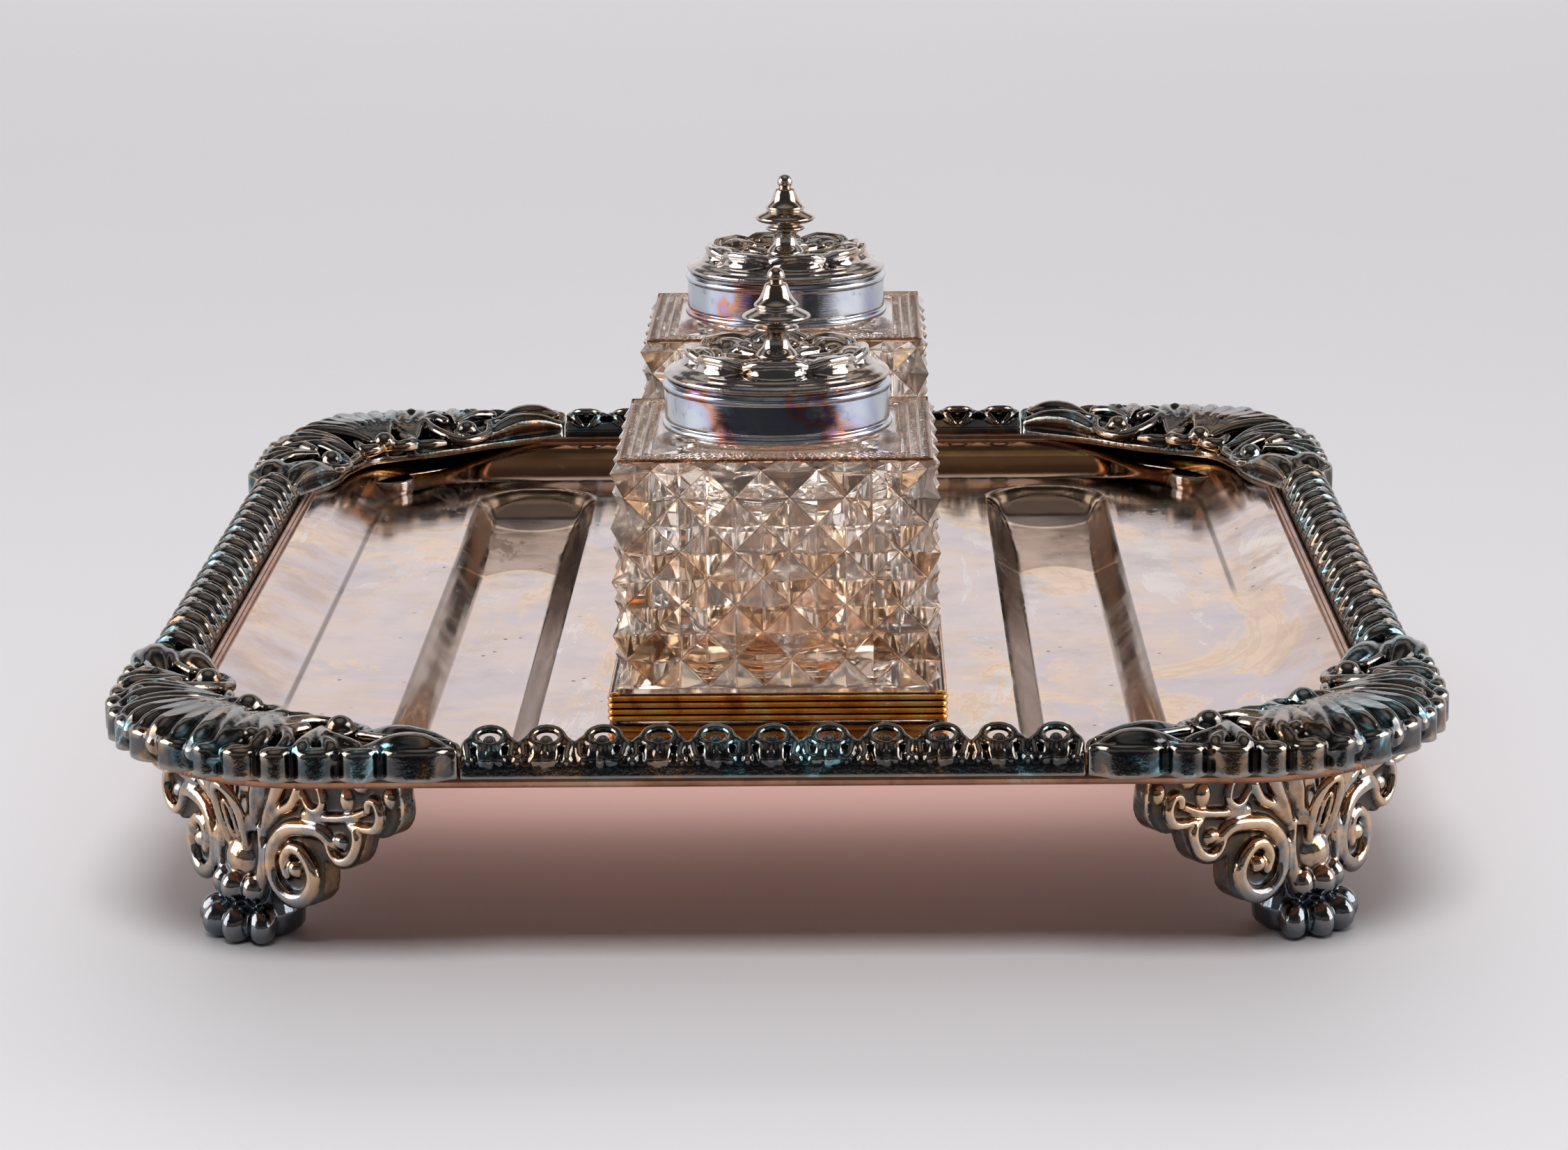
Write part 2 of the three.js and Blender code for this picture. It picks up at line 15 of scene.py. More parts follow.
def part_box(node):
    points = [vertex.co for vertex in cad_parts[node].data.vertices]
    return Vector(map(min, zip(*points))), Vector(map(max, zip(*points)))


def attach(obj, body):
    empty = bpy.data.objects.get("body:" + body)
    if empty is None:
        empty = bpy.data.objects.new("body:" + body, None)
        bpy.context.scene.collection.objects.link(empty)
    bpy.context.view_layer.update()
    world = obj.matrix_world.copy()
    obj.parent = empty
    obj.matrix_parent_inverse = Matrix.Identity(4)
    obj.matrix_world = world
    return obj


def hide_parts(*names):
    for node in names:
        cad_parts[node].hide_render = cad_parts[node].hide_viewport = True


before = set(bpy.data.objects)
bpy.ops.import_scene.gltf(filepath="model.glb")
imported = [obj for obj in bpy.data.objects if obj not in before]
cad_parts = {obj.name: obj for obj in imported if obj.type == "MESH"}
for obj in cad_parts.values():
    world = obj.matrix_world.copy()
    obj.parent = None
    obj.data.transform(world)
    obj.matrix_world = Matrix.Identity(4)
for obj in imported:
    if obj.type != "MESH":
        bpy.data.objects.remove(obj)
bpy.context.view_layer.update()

MM = 0.001
SEED = 7


def node_box(node):
    """Lowest and highest corner of a CAD node in millimetres."""
    low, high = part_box(node)
    return np.array(low) / MM, np.array(high) / MM


def node_levels(node):
    """Middle along Y, and lowest and highest level, of a CAD node."""
    low, high = node_box(node)
    return (low[1] + high[1]) / 2, low[2], high[2]


def placed(name, data):
    """A scene object that holds this data."""
    obj = bpy.data.objects.new(name, data)
    bpy.context.scene.collection.objects.link(obj)
    return obj


def unit(v):
    v = np.asarray(v, float)
    return v / np.maximum(np.linalg.norm(v, axis=-1, keepdims=True), 1e-12)


def ease(t):
    t = np.clip(t, 0, 1)
    return t * t * (3 - 2 * t)


# ---- shapes ---------------------------------------------------------------------------
class Shape:
    """Points and faces gathered part by part, in millimetres."""

    def __init__(self):
        self.points, self.faces, self.size = [], [], 0

    def add(self, points, faces, closed=True):
        points = np.asarray(points, float).reshape(-1, 3)
        if closed:
            faces = outward(points, faces)
        self.faces += [tuple(int(i) + self.size for i in f) for f in faces]
        self.points.append(points)
        self.size += len(points)
        return self

    def all_points(self):
        return np.vstack(self.points)


def volume(points, faces):
    total = 0.0
    by_size = {}
    for f in faces:
        by_size.setdefault(len(f), []).append(f)
    for size, group in by_size.items():
        index = np.array(group)
        for k in range(1, size - 1):
            a, b, c = points[index[:, 0]], points[index[:, k]], points[index[:, k + 1]]
            total += np.einsum("ij,ij->", a, np.cross(b, c))
    return total / 6


def outward(points, faces):
    """Faces of a closed shape, turned round if they point into it."""
    return [f[::-1] for f in faces] if volume(points, faces) < 0 else faces


def between(a, b, count):
    """Faces between two rings of count points that start at a and b."""
    return [(a + j, a + (j + 1) % count, b + (j + 1) % count, b + j) for j in range(count)]


def loft(loops, joined=False):
    """Points and faces of a skin over equal rings, closed by caps or by joining its ends."""
    loops = np.asarray(loops, float)
    rows, count = loops.shape[:2]
    points = loops.reshape(-1, 3)
    faces = []
    for i in range(rows if joined else rows - 1):
        faces += between(i * count, ((i + 1) % rows) * count, count)
    if not joined:
        for start, flip in [(0, True), ((rows - 1) * count, False)]:
            middle = len(points)
            points = np.vstack([points, points[start:start + count].mean(0)])
            for j in range(count):
                k = (j + 1) % count
                face = (middle, start + j, start + k)
                faces.append(face[::-1] if flip else face)
    return points, faces


def smooth_line(stations, count):
    """Catmull-Rom line through rows of numbers."""
    p = np.asarray(stations, float)
    held = np.vstack([2 * p[0] - p[1], p, 2 * p[-1] - p[-2]])
    t = np.linspace(0, len(p) - 1, count)
    i = np.minimum(t.astype(int), len(p) - 2)
    f = (t - i)[:, None]
    a, b, c, d = held[i], held[i + 1], held[i + 2], held[i + 3]
    return 0.5 * (2 * b + (c - a) * f + (2 * a - 5 * b + 4 * c - d) * f ** 2
                  + (3 * b - a - 3 * c + d) * f ** 3)


ROD_SIDES = 10


def rod(shape, stations, flat=1.0, up=(0, 0, 1), steps=6):
    """Round bar with domed ends through [x, y, z, radius] stations, flattened along up."""
    line = smooth_line(stations, steps * (len(stations) - 1) + 1)
    centre, radius = line[:, :3], np.maximum(line[:, 3], 0.08)
    along = unit(np.gradient(centre, axis=0))
    side = unit(np.cross(along, np.asarray(up, float)))
    rise = np.cross(side, along)
    turn = np.linspace(0, 2 * np.pi, ROD_SIDES, endpoint=False)
    rows = [(centre[0], along[0] * -1, side[0], rise[0], radius[0], a) for a in (80, 50, 25)]
    rows += [(centre[i], along[i], side[i], rise[i], radius[i], 0) for i in range(len(line))]
    rows += [(centre[-1], along[-1], side[-1], rise[-1], radius[-1], a) for a in (25, 50, 80)]
    loops = []
    for c, forward, s, r, size, lean in rows:
        a = math.radians(lean)
        wide = size * math.cos(a)
        loops.append(c + forward * size * math.sin(a)
                     + wide * (np.cos(turn)[:, None] * s + flat * np.sin(turn)[:, None] * r))
    return shape.add(*loft(loops))


def ball(shape, centre, radii, turn=0.0, tilt=0.0, sides=14, rings=9):
    """Ellipsoid, tilted about Y and then turned about Z."""
    lat = np.linspace(-np.pi / 2, np.pi / 2, rings + 1)[1:-1]
    lon = np.linspace(0, 2 * np.pi, sides, endpoint=False)
    loops = [[(math.cos(a) * math.cos(b), math.cos(a) * math.sin(b), math.sin(a)) for b in lon]
             for a in lat]
    points, faces = loft(loops)
    points[-2:] = [[0, 0, -1], [0, 0, 1]]
    points = points * np.asarray(radii, float)
    spin = Matrix.Rotation(turn, 3, "Z") @ Matrix.Rotation(tilt, 3, "Y")
    points = points @ np.array(spin).T + np.asarray(centre, float)[:3]
    return shape.add(points, faces)


def turned(profile, sides, cx=0.0, cy=0.0, joined=False):
    """Loops of a turned shape from [radius, height] pairs."""
    a = np.linspace(0, 2 * np.pi, sides, endpoint=False)
    loops = [np.stack([cx + r * np.cos(a), cy + r * np.sin(a), np.full(sides, z)], 1)
             for r, z in profile]
    return loft(loops, joined=joined)


def neighbours(faces, count):
    """Edge ends of a mesh, both ways round, and the number of neighbours of each point."""
    pairs = set()
    for f in faces:
        for i, a in enumerate(f):
            b = f[(i + 1) % len(f)]
            pairs.add((a, b) if a < b else (b, a))
    ends = np.array(sorted(pairs))
    ends = np.vstack([ends, ends[:, ::-1]])
    return ends, np.bincount(ends[:, 0], minlength=count).clip(1)


def averaged(points, ends, share):
    out = np.empty_like(points)
    for axis in range(3):
        out[:, axis] = np.bincount(ends[:, 0], points[ends[:, 1], axis], len(points)) / share
    return out


def point_normals(points, faces):
    normals = np.zeros_like(points)
    index = np.array([f[:4] if len(f) > 3 else (f[0], f[1], f[2], f[2]) for f in faces])
    across = np.cross(points[index[:, 2]] - points[index[:, 0]],
                      points[index[:, 3]] - points[index[:, 1]])
    for k in range(4):
        np.add.at(normals, index[:, k], across)
    return unit(normals)


def plain_mesh(name, points, faces, smooth=True):
    mesh = bpy.data.meshes.new(name)
    mesh.from_pydata((np.asarray(points) * MM).tolist(), [], faces)
    mesh.polygons.foreach_set("use_smooth", [smooth] * len(mesh.polygons))
    mesh.update()
    return mesh


def evaluated(obj):
    """Plain mesh of an object with its modifiers worked out; the object is removed."""
    graph = bpy.context.evaluated_depsgraph_get()
    graph.update()
    mesh = bpy.data.meshes.new_from_object(obj.evaluated_get(graph))
    old = obj.data
    bpy.data.objects.remove(obj)
    if old.users == 0:
        bpy.data.meshes.remove(old)
    return mesh


def mesh_arrays(mesh):
    points = np.empty(len(mesh.vertices) * 3)
    mesh.vertices.foreach_get("co", points)
    faces = [tuple(p.vertices) for p in mesh.polygons]
    return points.reshape(-1, 3) / MM, faces


# Each round draws the skin in and then swells it, so it is smoothed but keeps its size.
DRAW_IN, SWELL, LAST_SOFTENING = 0.55, 0.57, 0.5


def cast(shape, voxel, rounds, depth=0.22, reach=14):
    """Overlapping closed parts fused into one skin and softened as a casting is."""
    obj = placed("cast", plain_mesh("cast", shape.all_points(), shape.faces))
    fuse = obj.modifiers.new("fuse", "REMESH")
    fuse.mode, fuse.voxel_size, fuse.adaptivity = "VOXEL", voxel * MM, 0.0
    mesh = evaluated(obj)
    points, faces = mesh_arrays(mesh)
    bpy.data.meshes.remove(mesh)
    ends, share = neighbours(faces, len(points))
    for _ in range(rounds):
        points += DRAW_IN * (averaged(points, ends, share) - points)
        points -= SWELL * (averaged(points, ends, share) - points)
    points += LAST_SOFTENING * (averaged(points, ends, share) - points)
    return points, faces, relief_of(points, faces, ends, share, depth, reach)


def relief_of(points, faces, ends, share, depth, reach):
    """Raised edges towards 1 and hollows towards -1, for wear and dirt."""
    soft = points.copy()
    for _ in range(reach):
        soft = averaged(soft, ends, share)
    rise = np.einsum("ij,ij->i", points - soft, point_normals(points, faces))
    return np.clip(rise / depth, -1, 1)


def piece(name, points, faces, body, replaced, materials, relief=None, picks=None):
    """A finished piece at the origin, riding on its body."""
    mesh = plain_mesh(name, points, faces)
    for material in materials:
        mesh.materials.append(material)
    if picks is not None:
        mesh.polygons.foreach_set("material_index", np.asarray(picks, np.int32))
    if relief is not None:
        mesh.attributes.new("relief", "FLOAT", "POINT").data.foreach_set(
            "value", np.asarray(relief, np.float32))
    obj = placed(name, mesh)
    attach(obj, body)
    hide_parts(*replaced)
    return obj


def mirrored(points, faces, sx, sy):
    """A copy in another quarter of the stand, faces still outward."""
    turned_faces = [f[::-1] for f in faces] if sx * sy < 0 else faces
    return points * np.array([sx, sy, 1.0]), turned_faces


# ---- shader expressions ---------------------------------------------------------------
class Value:
    """A shader socket that takes part in arithmetic."""

    def __init__(self, graph, socket):
        self.graph, self.socket = graph, socket

    def _math(self, operation, first, second):
        return self.graph.node("Math", {"operation": operation}, {0: first, 1: second})

    def __add__(self, other):
        return self._math("ADD", self, other)

    __radd__ = __add__

    def __sub__(self, other):
        return self._math("SUBTRACT", self, other)

    def __rsub__(self, other):
        return self._math("SUBTRACT", other, self)

    def __mul__(self, other):
        return self._math("MULTIPLY", self, other)

    __rmul__ = __mul__

    def __truediv__(self, other):
        return self._math("DIVIDE", self, other)

    def __pow__(self, other):
        return self._math("POWER", self, other)

    def over(self, low, high):
        """0 below low, 1 above high, eased between."""
        return self.graph.node("MapRange", {"interpolation_type": "SMOOTHSTEP"},
                               {"Value": self, "From Min": low, "From Max": high})


class Graph:
    """One node tree of a material or of the surroundings."""

    def __init__(self, tree):
        self.tree = tree
        tree.nodes.clear()

    def node(self, kind, settings=None, sockets=None, out=0):
        made = self.tree.nodes.new("ShaderNode" + kind)
        for key, value in (settings or {}).items():
            if key == "stops":
                self._stops(made.color_ramp, value)
            else:
                setattr(made, key, value)
        for key, value in (sockets or {}).items():
            if isinstance(value, Value):
                self.tree.links.new(value.socket, made.inputs[key])
            else:
                made.inputs[key].default_value = value
        return Value(self, made.outputs[out]) if len(made.outputs) else None

    @staticmethod
    def _stops(ramp, stops):
        while len(ramp.elements) < len(stops):
            ramp.elements.new(1.0)
        for element, (place, colour) in zip(ramp.elements, stops):
            element.position = place
            element.color = (*colour, 1.0)

    def place(self, scale=(1, 1, 1), turn=0.0):
        """Object coordinates in millimetres."""
        source = self.node("TexCoord", out=3)
        size = tuple(s / MM for s in scale)
        return self.node("Mapping", {}, {"Vector": source, "Scale": size,
                                         "Rotation": (0, 0, turn)})

    def noise(self, scale, detail=3.0, rough=0.5, warp=0.0, where=None):
        return self.node("TexNoise", {}, {"Vector": where or self.place(), "Scale": scale,
                                          "Detail": detail, "Roughness": rough,
                                          "Distortion": warp})

    def blend(self, share, first, second):
        return self.node("Mix", {"data_type": "RGBA"}, {0: share, 6: first, 7: second}, out=2)

    def part(self, vector, axis):
        """One of the three numbers of a vector."""
        return self.node("SeparateXYZ", {}, {0: vector}, out=axis)

    def size(self, value):
        return self.node("Math", {"operation": "ABSOLUTE"}, {0: value})

    def attribute(self, name):
        return self.node("Attribute", {"attribute_name": name}, out=2)

    def ramp(self, value, stops):
        return self.node("ValToRGB", {"stops": stops}, {"Fac": value})

    def bump(self, height, distance, strength):
        return self.node("Bump", {}, {"Height": height, "Distance": distance * MM,
                                      "Strength": strength})

    def surface(self, colour, roughness, sockets):
        shader = self.node("BsdfPrincipled", {}, {"Base Color": colour, "Roughness": roughness,
                                                  **sockets})
        self.node("OutputMaterial", {}, {"Surface": shader})

    def metal(self, colour, roughness, normal):
        self.surface(colour, roughness, {"Metallic": 1.0, "Normal": normal})


def rgb(*values):
    return (*values, 1.0)


def new_material(name):
    material = bpy.data.materials.new(name)
    material.use_nodes = True
    return material, Graph(material.node_tree)


# ---- levels ---------------------------------------------------------------------------
tray_high = node_box("tray_plate")[1]
strip_low, strip_high = node_box("border_side_right")
end_low, end_high = node_box("border_end_rear")
HALF_X, HALF_Y = strip_high[0], end_high[1]
BORDER_Z = strip_low[2]
SOLDER, WALL_RISE = 0.3, 4.6
FLANGE_Z = BORDER_Z - SOLDER
FLOOR_Z = FLANGE_Z - WALL_RISE
FRAME_BASE = node_box("bottle_frame_front")[0][2]
REEDS = 4
REED = 4.5 / REEDS
BOTTLE_Y = node_levels("bottle_rear")[0]

TROUGH_IN, TROUGH_OUT = 39.5, 64.0
TROUGH_END, TROUGH_DEEP = 99.0, 5.0

# ---- finishes -------------------------------------------------------------------------
TARNISH = [(0.0, (0.07, 0.07, 0.065)), (0.34, (0.19, 0.155, 0.12)), (0.40, (0.28, 0.17, 0.10)),
           (0.45, (0.11, 0.10, 0.095)), (0.56, (0.07, 0.075, 0.078)), (0.60, (0.08, 0.14, 0.16)),
           (0.63, (0.22, 0.42, 0.48)), (0.66, (0.13, 0.14, 0.14)), (1.0, (0.22, 0.18, 0.15))]


def cast_silver(name, tones, hollow, edge, colour_size, rough, painted_dark_toes=0.0):
    """Tarnished cast plate: film colours that drift, dirt in hollows, bare metal on edges."""
    material, g = new_material(name)
    drift = g.noise(1 / colour_size, 4.0, 0.55, 0.6)
    colour = g.ramp(drift, tones)
    mottle = g.noise(0.9, 3.0, 0.6)
    colour = g.blend(0.35 * mottle.over(0.45, 0.75), colour, rgb(0.05, 0.045, 0.05))
    relief = g.attribute("relief")
    colour = g.blend(0.9 * (0 - relief).over(0.10, 0.75), colour, rgb(*hollow))
    colour = g.blend(0.4 * relief.over(0.30, 1.0), colour, rgb(*edge))
    # Painted dark reflection: the toes, below 7 to 13 mm, are darkened to a blue-grey.
    if painted_dark_toes:
        rise = g.part(g.place(), 2)
        colour = g.blend(painted_dark_toes * (1 - rise.over(7.0, 13.0)), colour, rgb(0.11, 0.14, 0.17))
    fine = g.noise(3.2, 4.0, 0.6)
    roughness = rough + 0.14 * fine.over(0.4, 0.8) + 0.25 * (0 - relief).over(0.3, 1.0)
    normal = g.bump(g.noise(1.1, 2.0) + 0.25 * fine, 0.05, 0.5)
    g.metal(colour, roughness, normal)
    return material


def tray_silver():
    """Worn tray plate: rosy grey silver, straw stains, pale patches, specks; painted shading,
    reflections and highlights on the rear, the walls and in the troughs.
    """
    material, g = new_material("tray_silver")
    spot = g.place()
    across, back, rise = (g.part(spot, axis) for axis in range(3))
    aside, ahead = g.size(across), g.size(back)
    up, sunk = rise - FLOOR_Z, 0 - rise + FLOOR_Z
    cloud = g.noise(0.018, 6.0, 0.62, 1.2)
    colour = g.ramp(cloud, [(0.36, (0.60, 0.51, 0.53)), (0.47, (0.69, 0.57, 0.54)),
                            (0.54, (0.70, 0.54, 0.45)), (0.62, (0.59, 0.51, 0.54))])
    stain = g.noise(0.020, 6.0, 0.62, 1.8, g.place((1.0, 0.6, 1.0), 0.4))
    colour = g.blend(0.7 * stain.over(0.54, 0.62), colour, rgb(0.88, 0.62, 0.38))
    colour = g.blend(0.5 * (stain.over(0.60, 0.615) - stain.over(0.625, 0.64)), colour,
                     rgb(0.62, 0.42, 0.26))
    pale = g.noise(0.034, 6.0, 0.7, 0.8, g.place((1.4, 0.45, 1.0)))
    colour = g.blend(0.75 * pale.over(0.585, 0.60), colour, rgb(0.92, 0.85, 0.82))
    speck = g.node("TexVoronoi", {"feature": "F1"},
                   {"Vector": spot, "Scale": 0.20, "Randomness": 1.0})
    dots = (1 - speck.over(0.04, 0.11)) * g.noise(0.04, 2.0).over(0.5, 0.56)
    colour = g.blend(0.85 * dots, colour, rgb(0.14, 0.07, 0.05))
    scratch = g.noise(0.9, 5.0, 0.7, 0.0, g.place((1.0, 0.04, 1.0), 0.25)).over(0.66, 0.72)
    colour = g.blend(0.18 * scratch, colour, rgb(0.9, 0.85, 0.82))
    # Painted shading: the rear of the tray is browner from 55 to 105 mm back.
    colour = g.blend(0.45 * back.over(55.0, 105.0), colour, rgb(0.46, 0.28, 0.17))
    wall = up.over(0.05, 0.9)
    browning = g.noise(0.08, 4.0, 0.6).over(0.35, 0.65)
    colour = g.blend(0.55 * wall * browning, colour, rgb(0.52, 0.34, 0.25))
    # Painted reflection: the rear wall is tinted orange-brown, with a painted orange highlight in a
    # line near its top.
    colour = g.blend(0.85 * wall * back.over(84.0, 100.0), colour, rgb(0.46, 0.21, 0.09))
    glint = back.over(84.0, 100.0) * up.over(2.9, 3.2) * (1 - up.over(3.7, 4.0)) \
        * g.noise(0.03, 2.0).over(0.42, 0.5)
    colour = g.blend(glint, colour, rgb(1.0, 0.62, 0.26))
    # Painted dark reflection along the crease at the foot of the wall, on the long sides only: from
    # 0 mm back on the right, from -70 mm back on the left.
    right = across.over(-1.0, 1.0)
    long = right * back.over(0.0, 14.0) + (1 - right) * back.over(-78.0, -62.0)
    painted_crease_reflection = up.over(0.01, 0.04) * (1 - up.over(0.10, 0.24)) * long
    colour = g.blend(0.85 * painted_crease_reflection, colour, rgb(0.10, 0.05, 0.03))
    # Painted shading in the troughs: browner slopes and a dark line along the brink.
    slope = sunk.over(0.05, 0.4) * (1 - sunk.over(4.55, 4.9))
    colour = g.blend(0.92 * slope, colour, rgb(0.26, 0.155, 0.095))
    brink_shade = sunk.over(0.05, 0.25) * (1 - sunk.over(0.4, 0.9))
    colour = g.blend(0.6 * brink_shade, colour, rgb(0.10, 0.06, 0.045))
    # Painted shading and highlights at the rear of each trough: a brown end with a pale painted
    # rim.
    over_middle = (aside - 0.5 * (TROUGH_IN + TROUGH_OUT)) / 10.0
    deep = sunk.over(0.5, 1.0)
    reach = back - 46.0 + 10.0 * over_middle * over_middle
    colour = g.blend(0.85 * deep * reach.over(0.0, 1.5), colour, rgb(0.36, 0.21, 0.12))
    outline = reach.over(0.0, 0.8) * (1 - reach.over(1.6, 2.6))
    colour = g.blend(0.8 * deep * outline, colour, rgb(0.92, 0.66, 0.44))
    # Painted shade: a dark oval bowl at the rear end, with a pale painted highlight round its rim.
    bowl = (over_middle * over_middle + ((back - 87.5) / 9.5) ** 2) ** 0.5
    colour = g.blend(0.7 * deep * (1 - bowl.over(0.9, 1.0)), colour, rgb(0.10, 0.055, 0.035))
    colour = g.blend(0.8 * deep * bowl.over(0.95, 1.0) * (1 - bowl.over(1.06, 1.14)), colour,
                     rgb(0.95, 0.70, 0.50))
    off = g.size(ahead - BOTTLE_Y)
    under = (1 - aside.over(25.5, 26.5)) * (1 - off.over(25.5, 26.5))
    colour = g.blend(0.85 * under, colour, rgb(1.0, 0.52, 0.24))
    roughness = 0.10 + 0.10 * g.noise(0.08, 5.0, 0.7).over(0.4, 0.7) + 0.2 * dots \
        + 0.10 * pale.over(0.585, 0.60)
    height = g.noise(0.05, 2.0) + 0.03 * g.noise(2.0, 3.0)
    g.metal(colour, roughness, g.bump(height, 0.35, 0.3))
    return material


def bare_copper():
    """Copper showing where the plate has worn through, under the tray and on its lip."""
    material, g = new_material("bare_copper")
    tone = g.noise(0.08, 5.0, 0.6, 0.5)
    colour = g.ramp(tone, [(0.3, (0.26, 0.12, 0.07)), (0.5, (0.46, 0.22, 0.13)),
                           (0.7, (0.52, 0.34, 0.24))])
    line = g.noise(0.7, 3.0, 0.6, 0.0, g.place((1.0, 0.05, 1.0)))
    colour = g.blend(0.5 * line.over(0.55, 0.75), colour, rgb(0.18, 0.10, 0.07))
    roughness = 0.16 + 0.15 * g.noise(0.5, 4.0, 0.6)
    g.metal(colour, roughness, g.bump(line, 0.05, 0.4))
    return material


def frame_copper():
    """Amber copper of the reeded frames with dark streaks along the reeds and painted shade between
    them.
    """
    material, g = new_material("frame_copper")
    tone = g.noise(0.16, 4.0, 0.6, 0.6)
    colour = g.ramp(tone, [(0.35, (0.60, 0.16, 0.02)), (0.5, (1.0, 0.38, 0.06)),
                           (0.65, (1.0, 0.62, 0.18))])
    streak = g.noise(0.5, 4.0, 0.65, 0.0, g.place((0.10, 0.10, 2.2)))
    colour = g.blend(0.6 * streak.over(0.54, 0.70), colour, rgb(0.09, 0.03, 0.015))
    rise = g.part(g.place(), 2)
    # Painted shade: the grooves between the reeds are nearly black.
    reed = g.node("Math", {"operation": "PINGPONG"},
                  {0: (rise - FRAME_BASE) / REED, 1: 0.5})
    colour = g.blend(0.92 * (1 - reed.over(0.05, 0.20)), colour, rgb(0.03, 0.012, 0.008))
    roughness = 0.12 + 0.14 * g.noise(1.2, 4.0)
    g.surface(colour, roughness, {"Metallic": 0.85, "Coat Weight": 0.3, "Coat Roughness": 0.05,
                                  "Normal": g.bump(streak, 0.05, 0.4)})
    return material


def cover_silver(name, tones, colour_size, rough):
    """Brighter silver of the covers with a thin coloured film and fine turning lines."""
    material, g = new_material(name)
    drift = g.noise(1 / colour_size, 3.0, 0.5, 0.8)
    colour = g.ramp(drift, tones)
    lines = g.noise(0.6, 3.0, 0.6, 0.0, g.place((0.12, 0.12, 9.0)))
    grime = g.noise(0.35, 5.0, 0.7, 0.5)
    colour = g.blend(0.45 * grime.over(0.56, 0.72), colour, rgb(0.10, 0.08, 0.08))
    relief = g.attribute("relief")
    colour = g.blend(0.7 * (0 - relief).over(0.2, 1.0), colour, rgb(0.09, 0.065, 0.05))
    roughness = rough + 0.10 * grime.over(0.45, 0.75) + 0.05 * lines
    g.metal(colour, roughness, g.bump(lines + g.noise(0.8, 2.0), 0.02, 0.35))
    return material


PLAIN_SPOT = (0.5, 0.25)
PLAIN_VALLEY = 1 - sum(PLAIN_SPOT)
TINY = 0.0001


def cut_glass():
    """Pressed glass: facets that each hold one brown or clear tone, partly painted shade, with
    painted dark lines along the edges.
    """
    material, g = new_material("cut_glass")
    tone = g.attribute("tone")
    patch = g.noise(0.16, 3.0, 0.6, 0.5)
    colour = g.ramp(tone + 0.5 * (patch - 0.5),
                    [(0.20, (1.0, 0.96, 0.93)), (0.42, (0.97, 0.82, 0.70)),
                     (0.60, (0.92, 0.58, 0.32)), (0.82, (0.32, 0.15, 0.07))])
    facet = g.node("UVMap", {"uv_map": "facet"})
    across, along = g.part(facet, 0), g.part(facet, 1)
    ridge = g.node("Math", {"operation": "MINIMUM"}, {0: across, 1: along})
    valley = 1 - (across + along)
    groove = 1 - valley.over(0.01, 0.07)
    crest = 1 - ridge.over(0.01, 0.05)
    # Painted shade lines: dark along the valleys between the studs, darker along the ridges.
    colour = g.blend(0.75 * groove, colour, rgb(0.34, 0.18, 0.10))
    colour = g.blend(0.35 * crest, colour, rgb(0.60, 0.42, 0.30))
    inner = (0 - tone).over(0.4, 0.6)
    roughness = 0.022 + 0.04 * g.noise(0.6, 5.0, 0.7).over(0.5, 0.8) + 0.04 * inner
    round_off = ridge.over(0.0, 0.09) + 0.8 * groove
    normal = g.bump(0.4 * g.noise(0.12, 1.0) - 0.12 * round_off, 0.35, 0.5)
    clear = g.node("BsdfPrincipled", {}, {"Base Color": colour, "Roughness": roughness,
                                          "IOR": 1.45, "Transmission Weight": 1.0,
                                          "Coat Weight": 1.0, "Coat Roughness": 0.02,
                                          "Normal": normal})
    sheen = g.node("BsdfPrincipled", {}, {"Base Color": colour, "Roughness": 0.16,
                                          "Metallic": 0.45, "Normal": normal})
    plain = valley.over(PLAIN_VALLEY - TINY, PLAIN_VALLEY + TINY) \
        * (1 - valley.over(PLAIN_VALLEY + 2 * TINY, PLAIN_VALLEY + 4 * TINY))
    cut = 1 - plain
    both = g.node("MixShader", {}, {0: 0.15 * cut, 1: clear, 2: sheen})
    g.node("OutputMaterial", {}, {"Surface": both})
    return material


SILVER_DARK = cast_silver("border_silver", TARNISH, (0.02, 0.016, 0.014), (0.52, 0.46, 0.40),
                          11.0, 0.10)
SILVER_WARM = cast_silver("foot_silver",
                          [(0.0, (0.24, 0.20, 0.17)), (0.38, (0.54, 0.35, 0.21)),
                           (0.46, (0.36, 0.28, 0.23)), (0.53, (0.20, 0.23, 0.25)),
                           (0.60, (0.50, 0.33, 0.21)), (1.0, (0.30, 0.30, 0.29))],
                          (0.03, 0.024, 0.02), (0.78, 0.56, 0.38), 9.0, 0.10, painted_dark_toes=0.85)
TRAY_SILVER = tray_silver()
BARE_COPPER = bare_copper()
FRAME_COPPER = frame_copper()
BAND_SILVER = cover_silver("band_silver",
                           [(0.35, (0.62, 0.65, 0.69)), (0.48, (0.54, 0.59, 0.66)),
                            (0.56, (0.46, 0.48, 0.64)), (0.60, (0.66, 0.32, 0.20)),
                            (0.64, (0.44, 0.28, 0.48)), (0.70, (0.58, 0.60, 0.62))],
                           14.0, 0.08)
DOME_SILVER = cover_silver("dome_silver",
                           [(0.25, (0.46, 0.41, 0.38)), (0.48, (0.58, 0.54, 0.52)),
                            (0.60, (0.54, 0.40, 0.28)), (0.75, (0.36, 0.36, 0.38))],
                           9.0, 0.07)
CUT_GLASS = cut_glass()

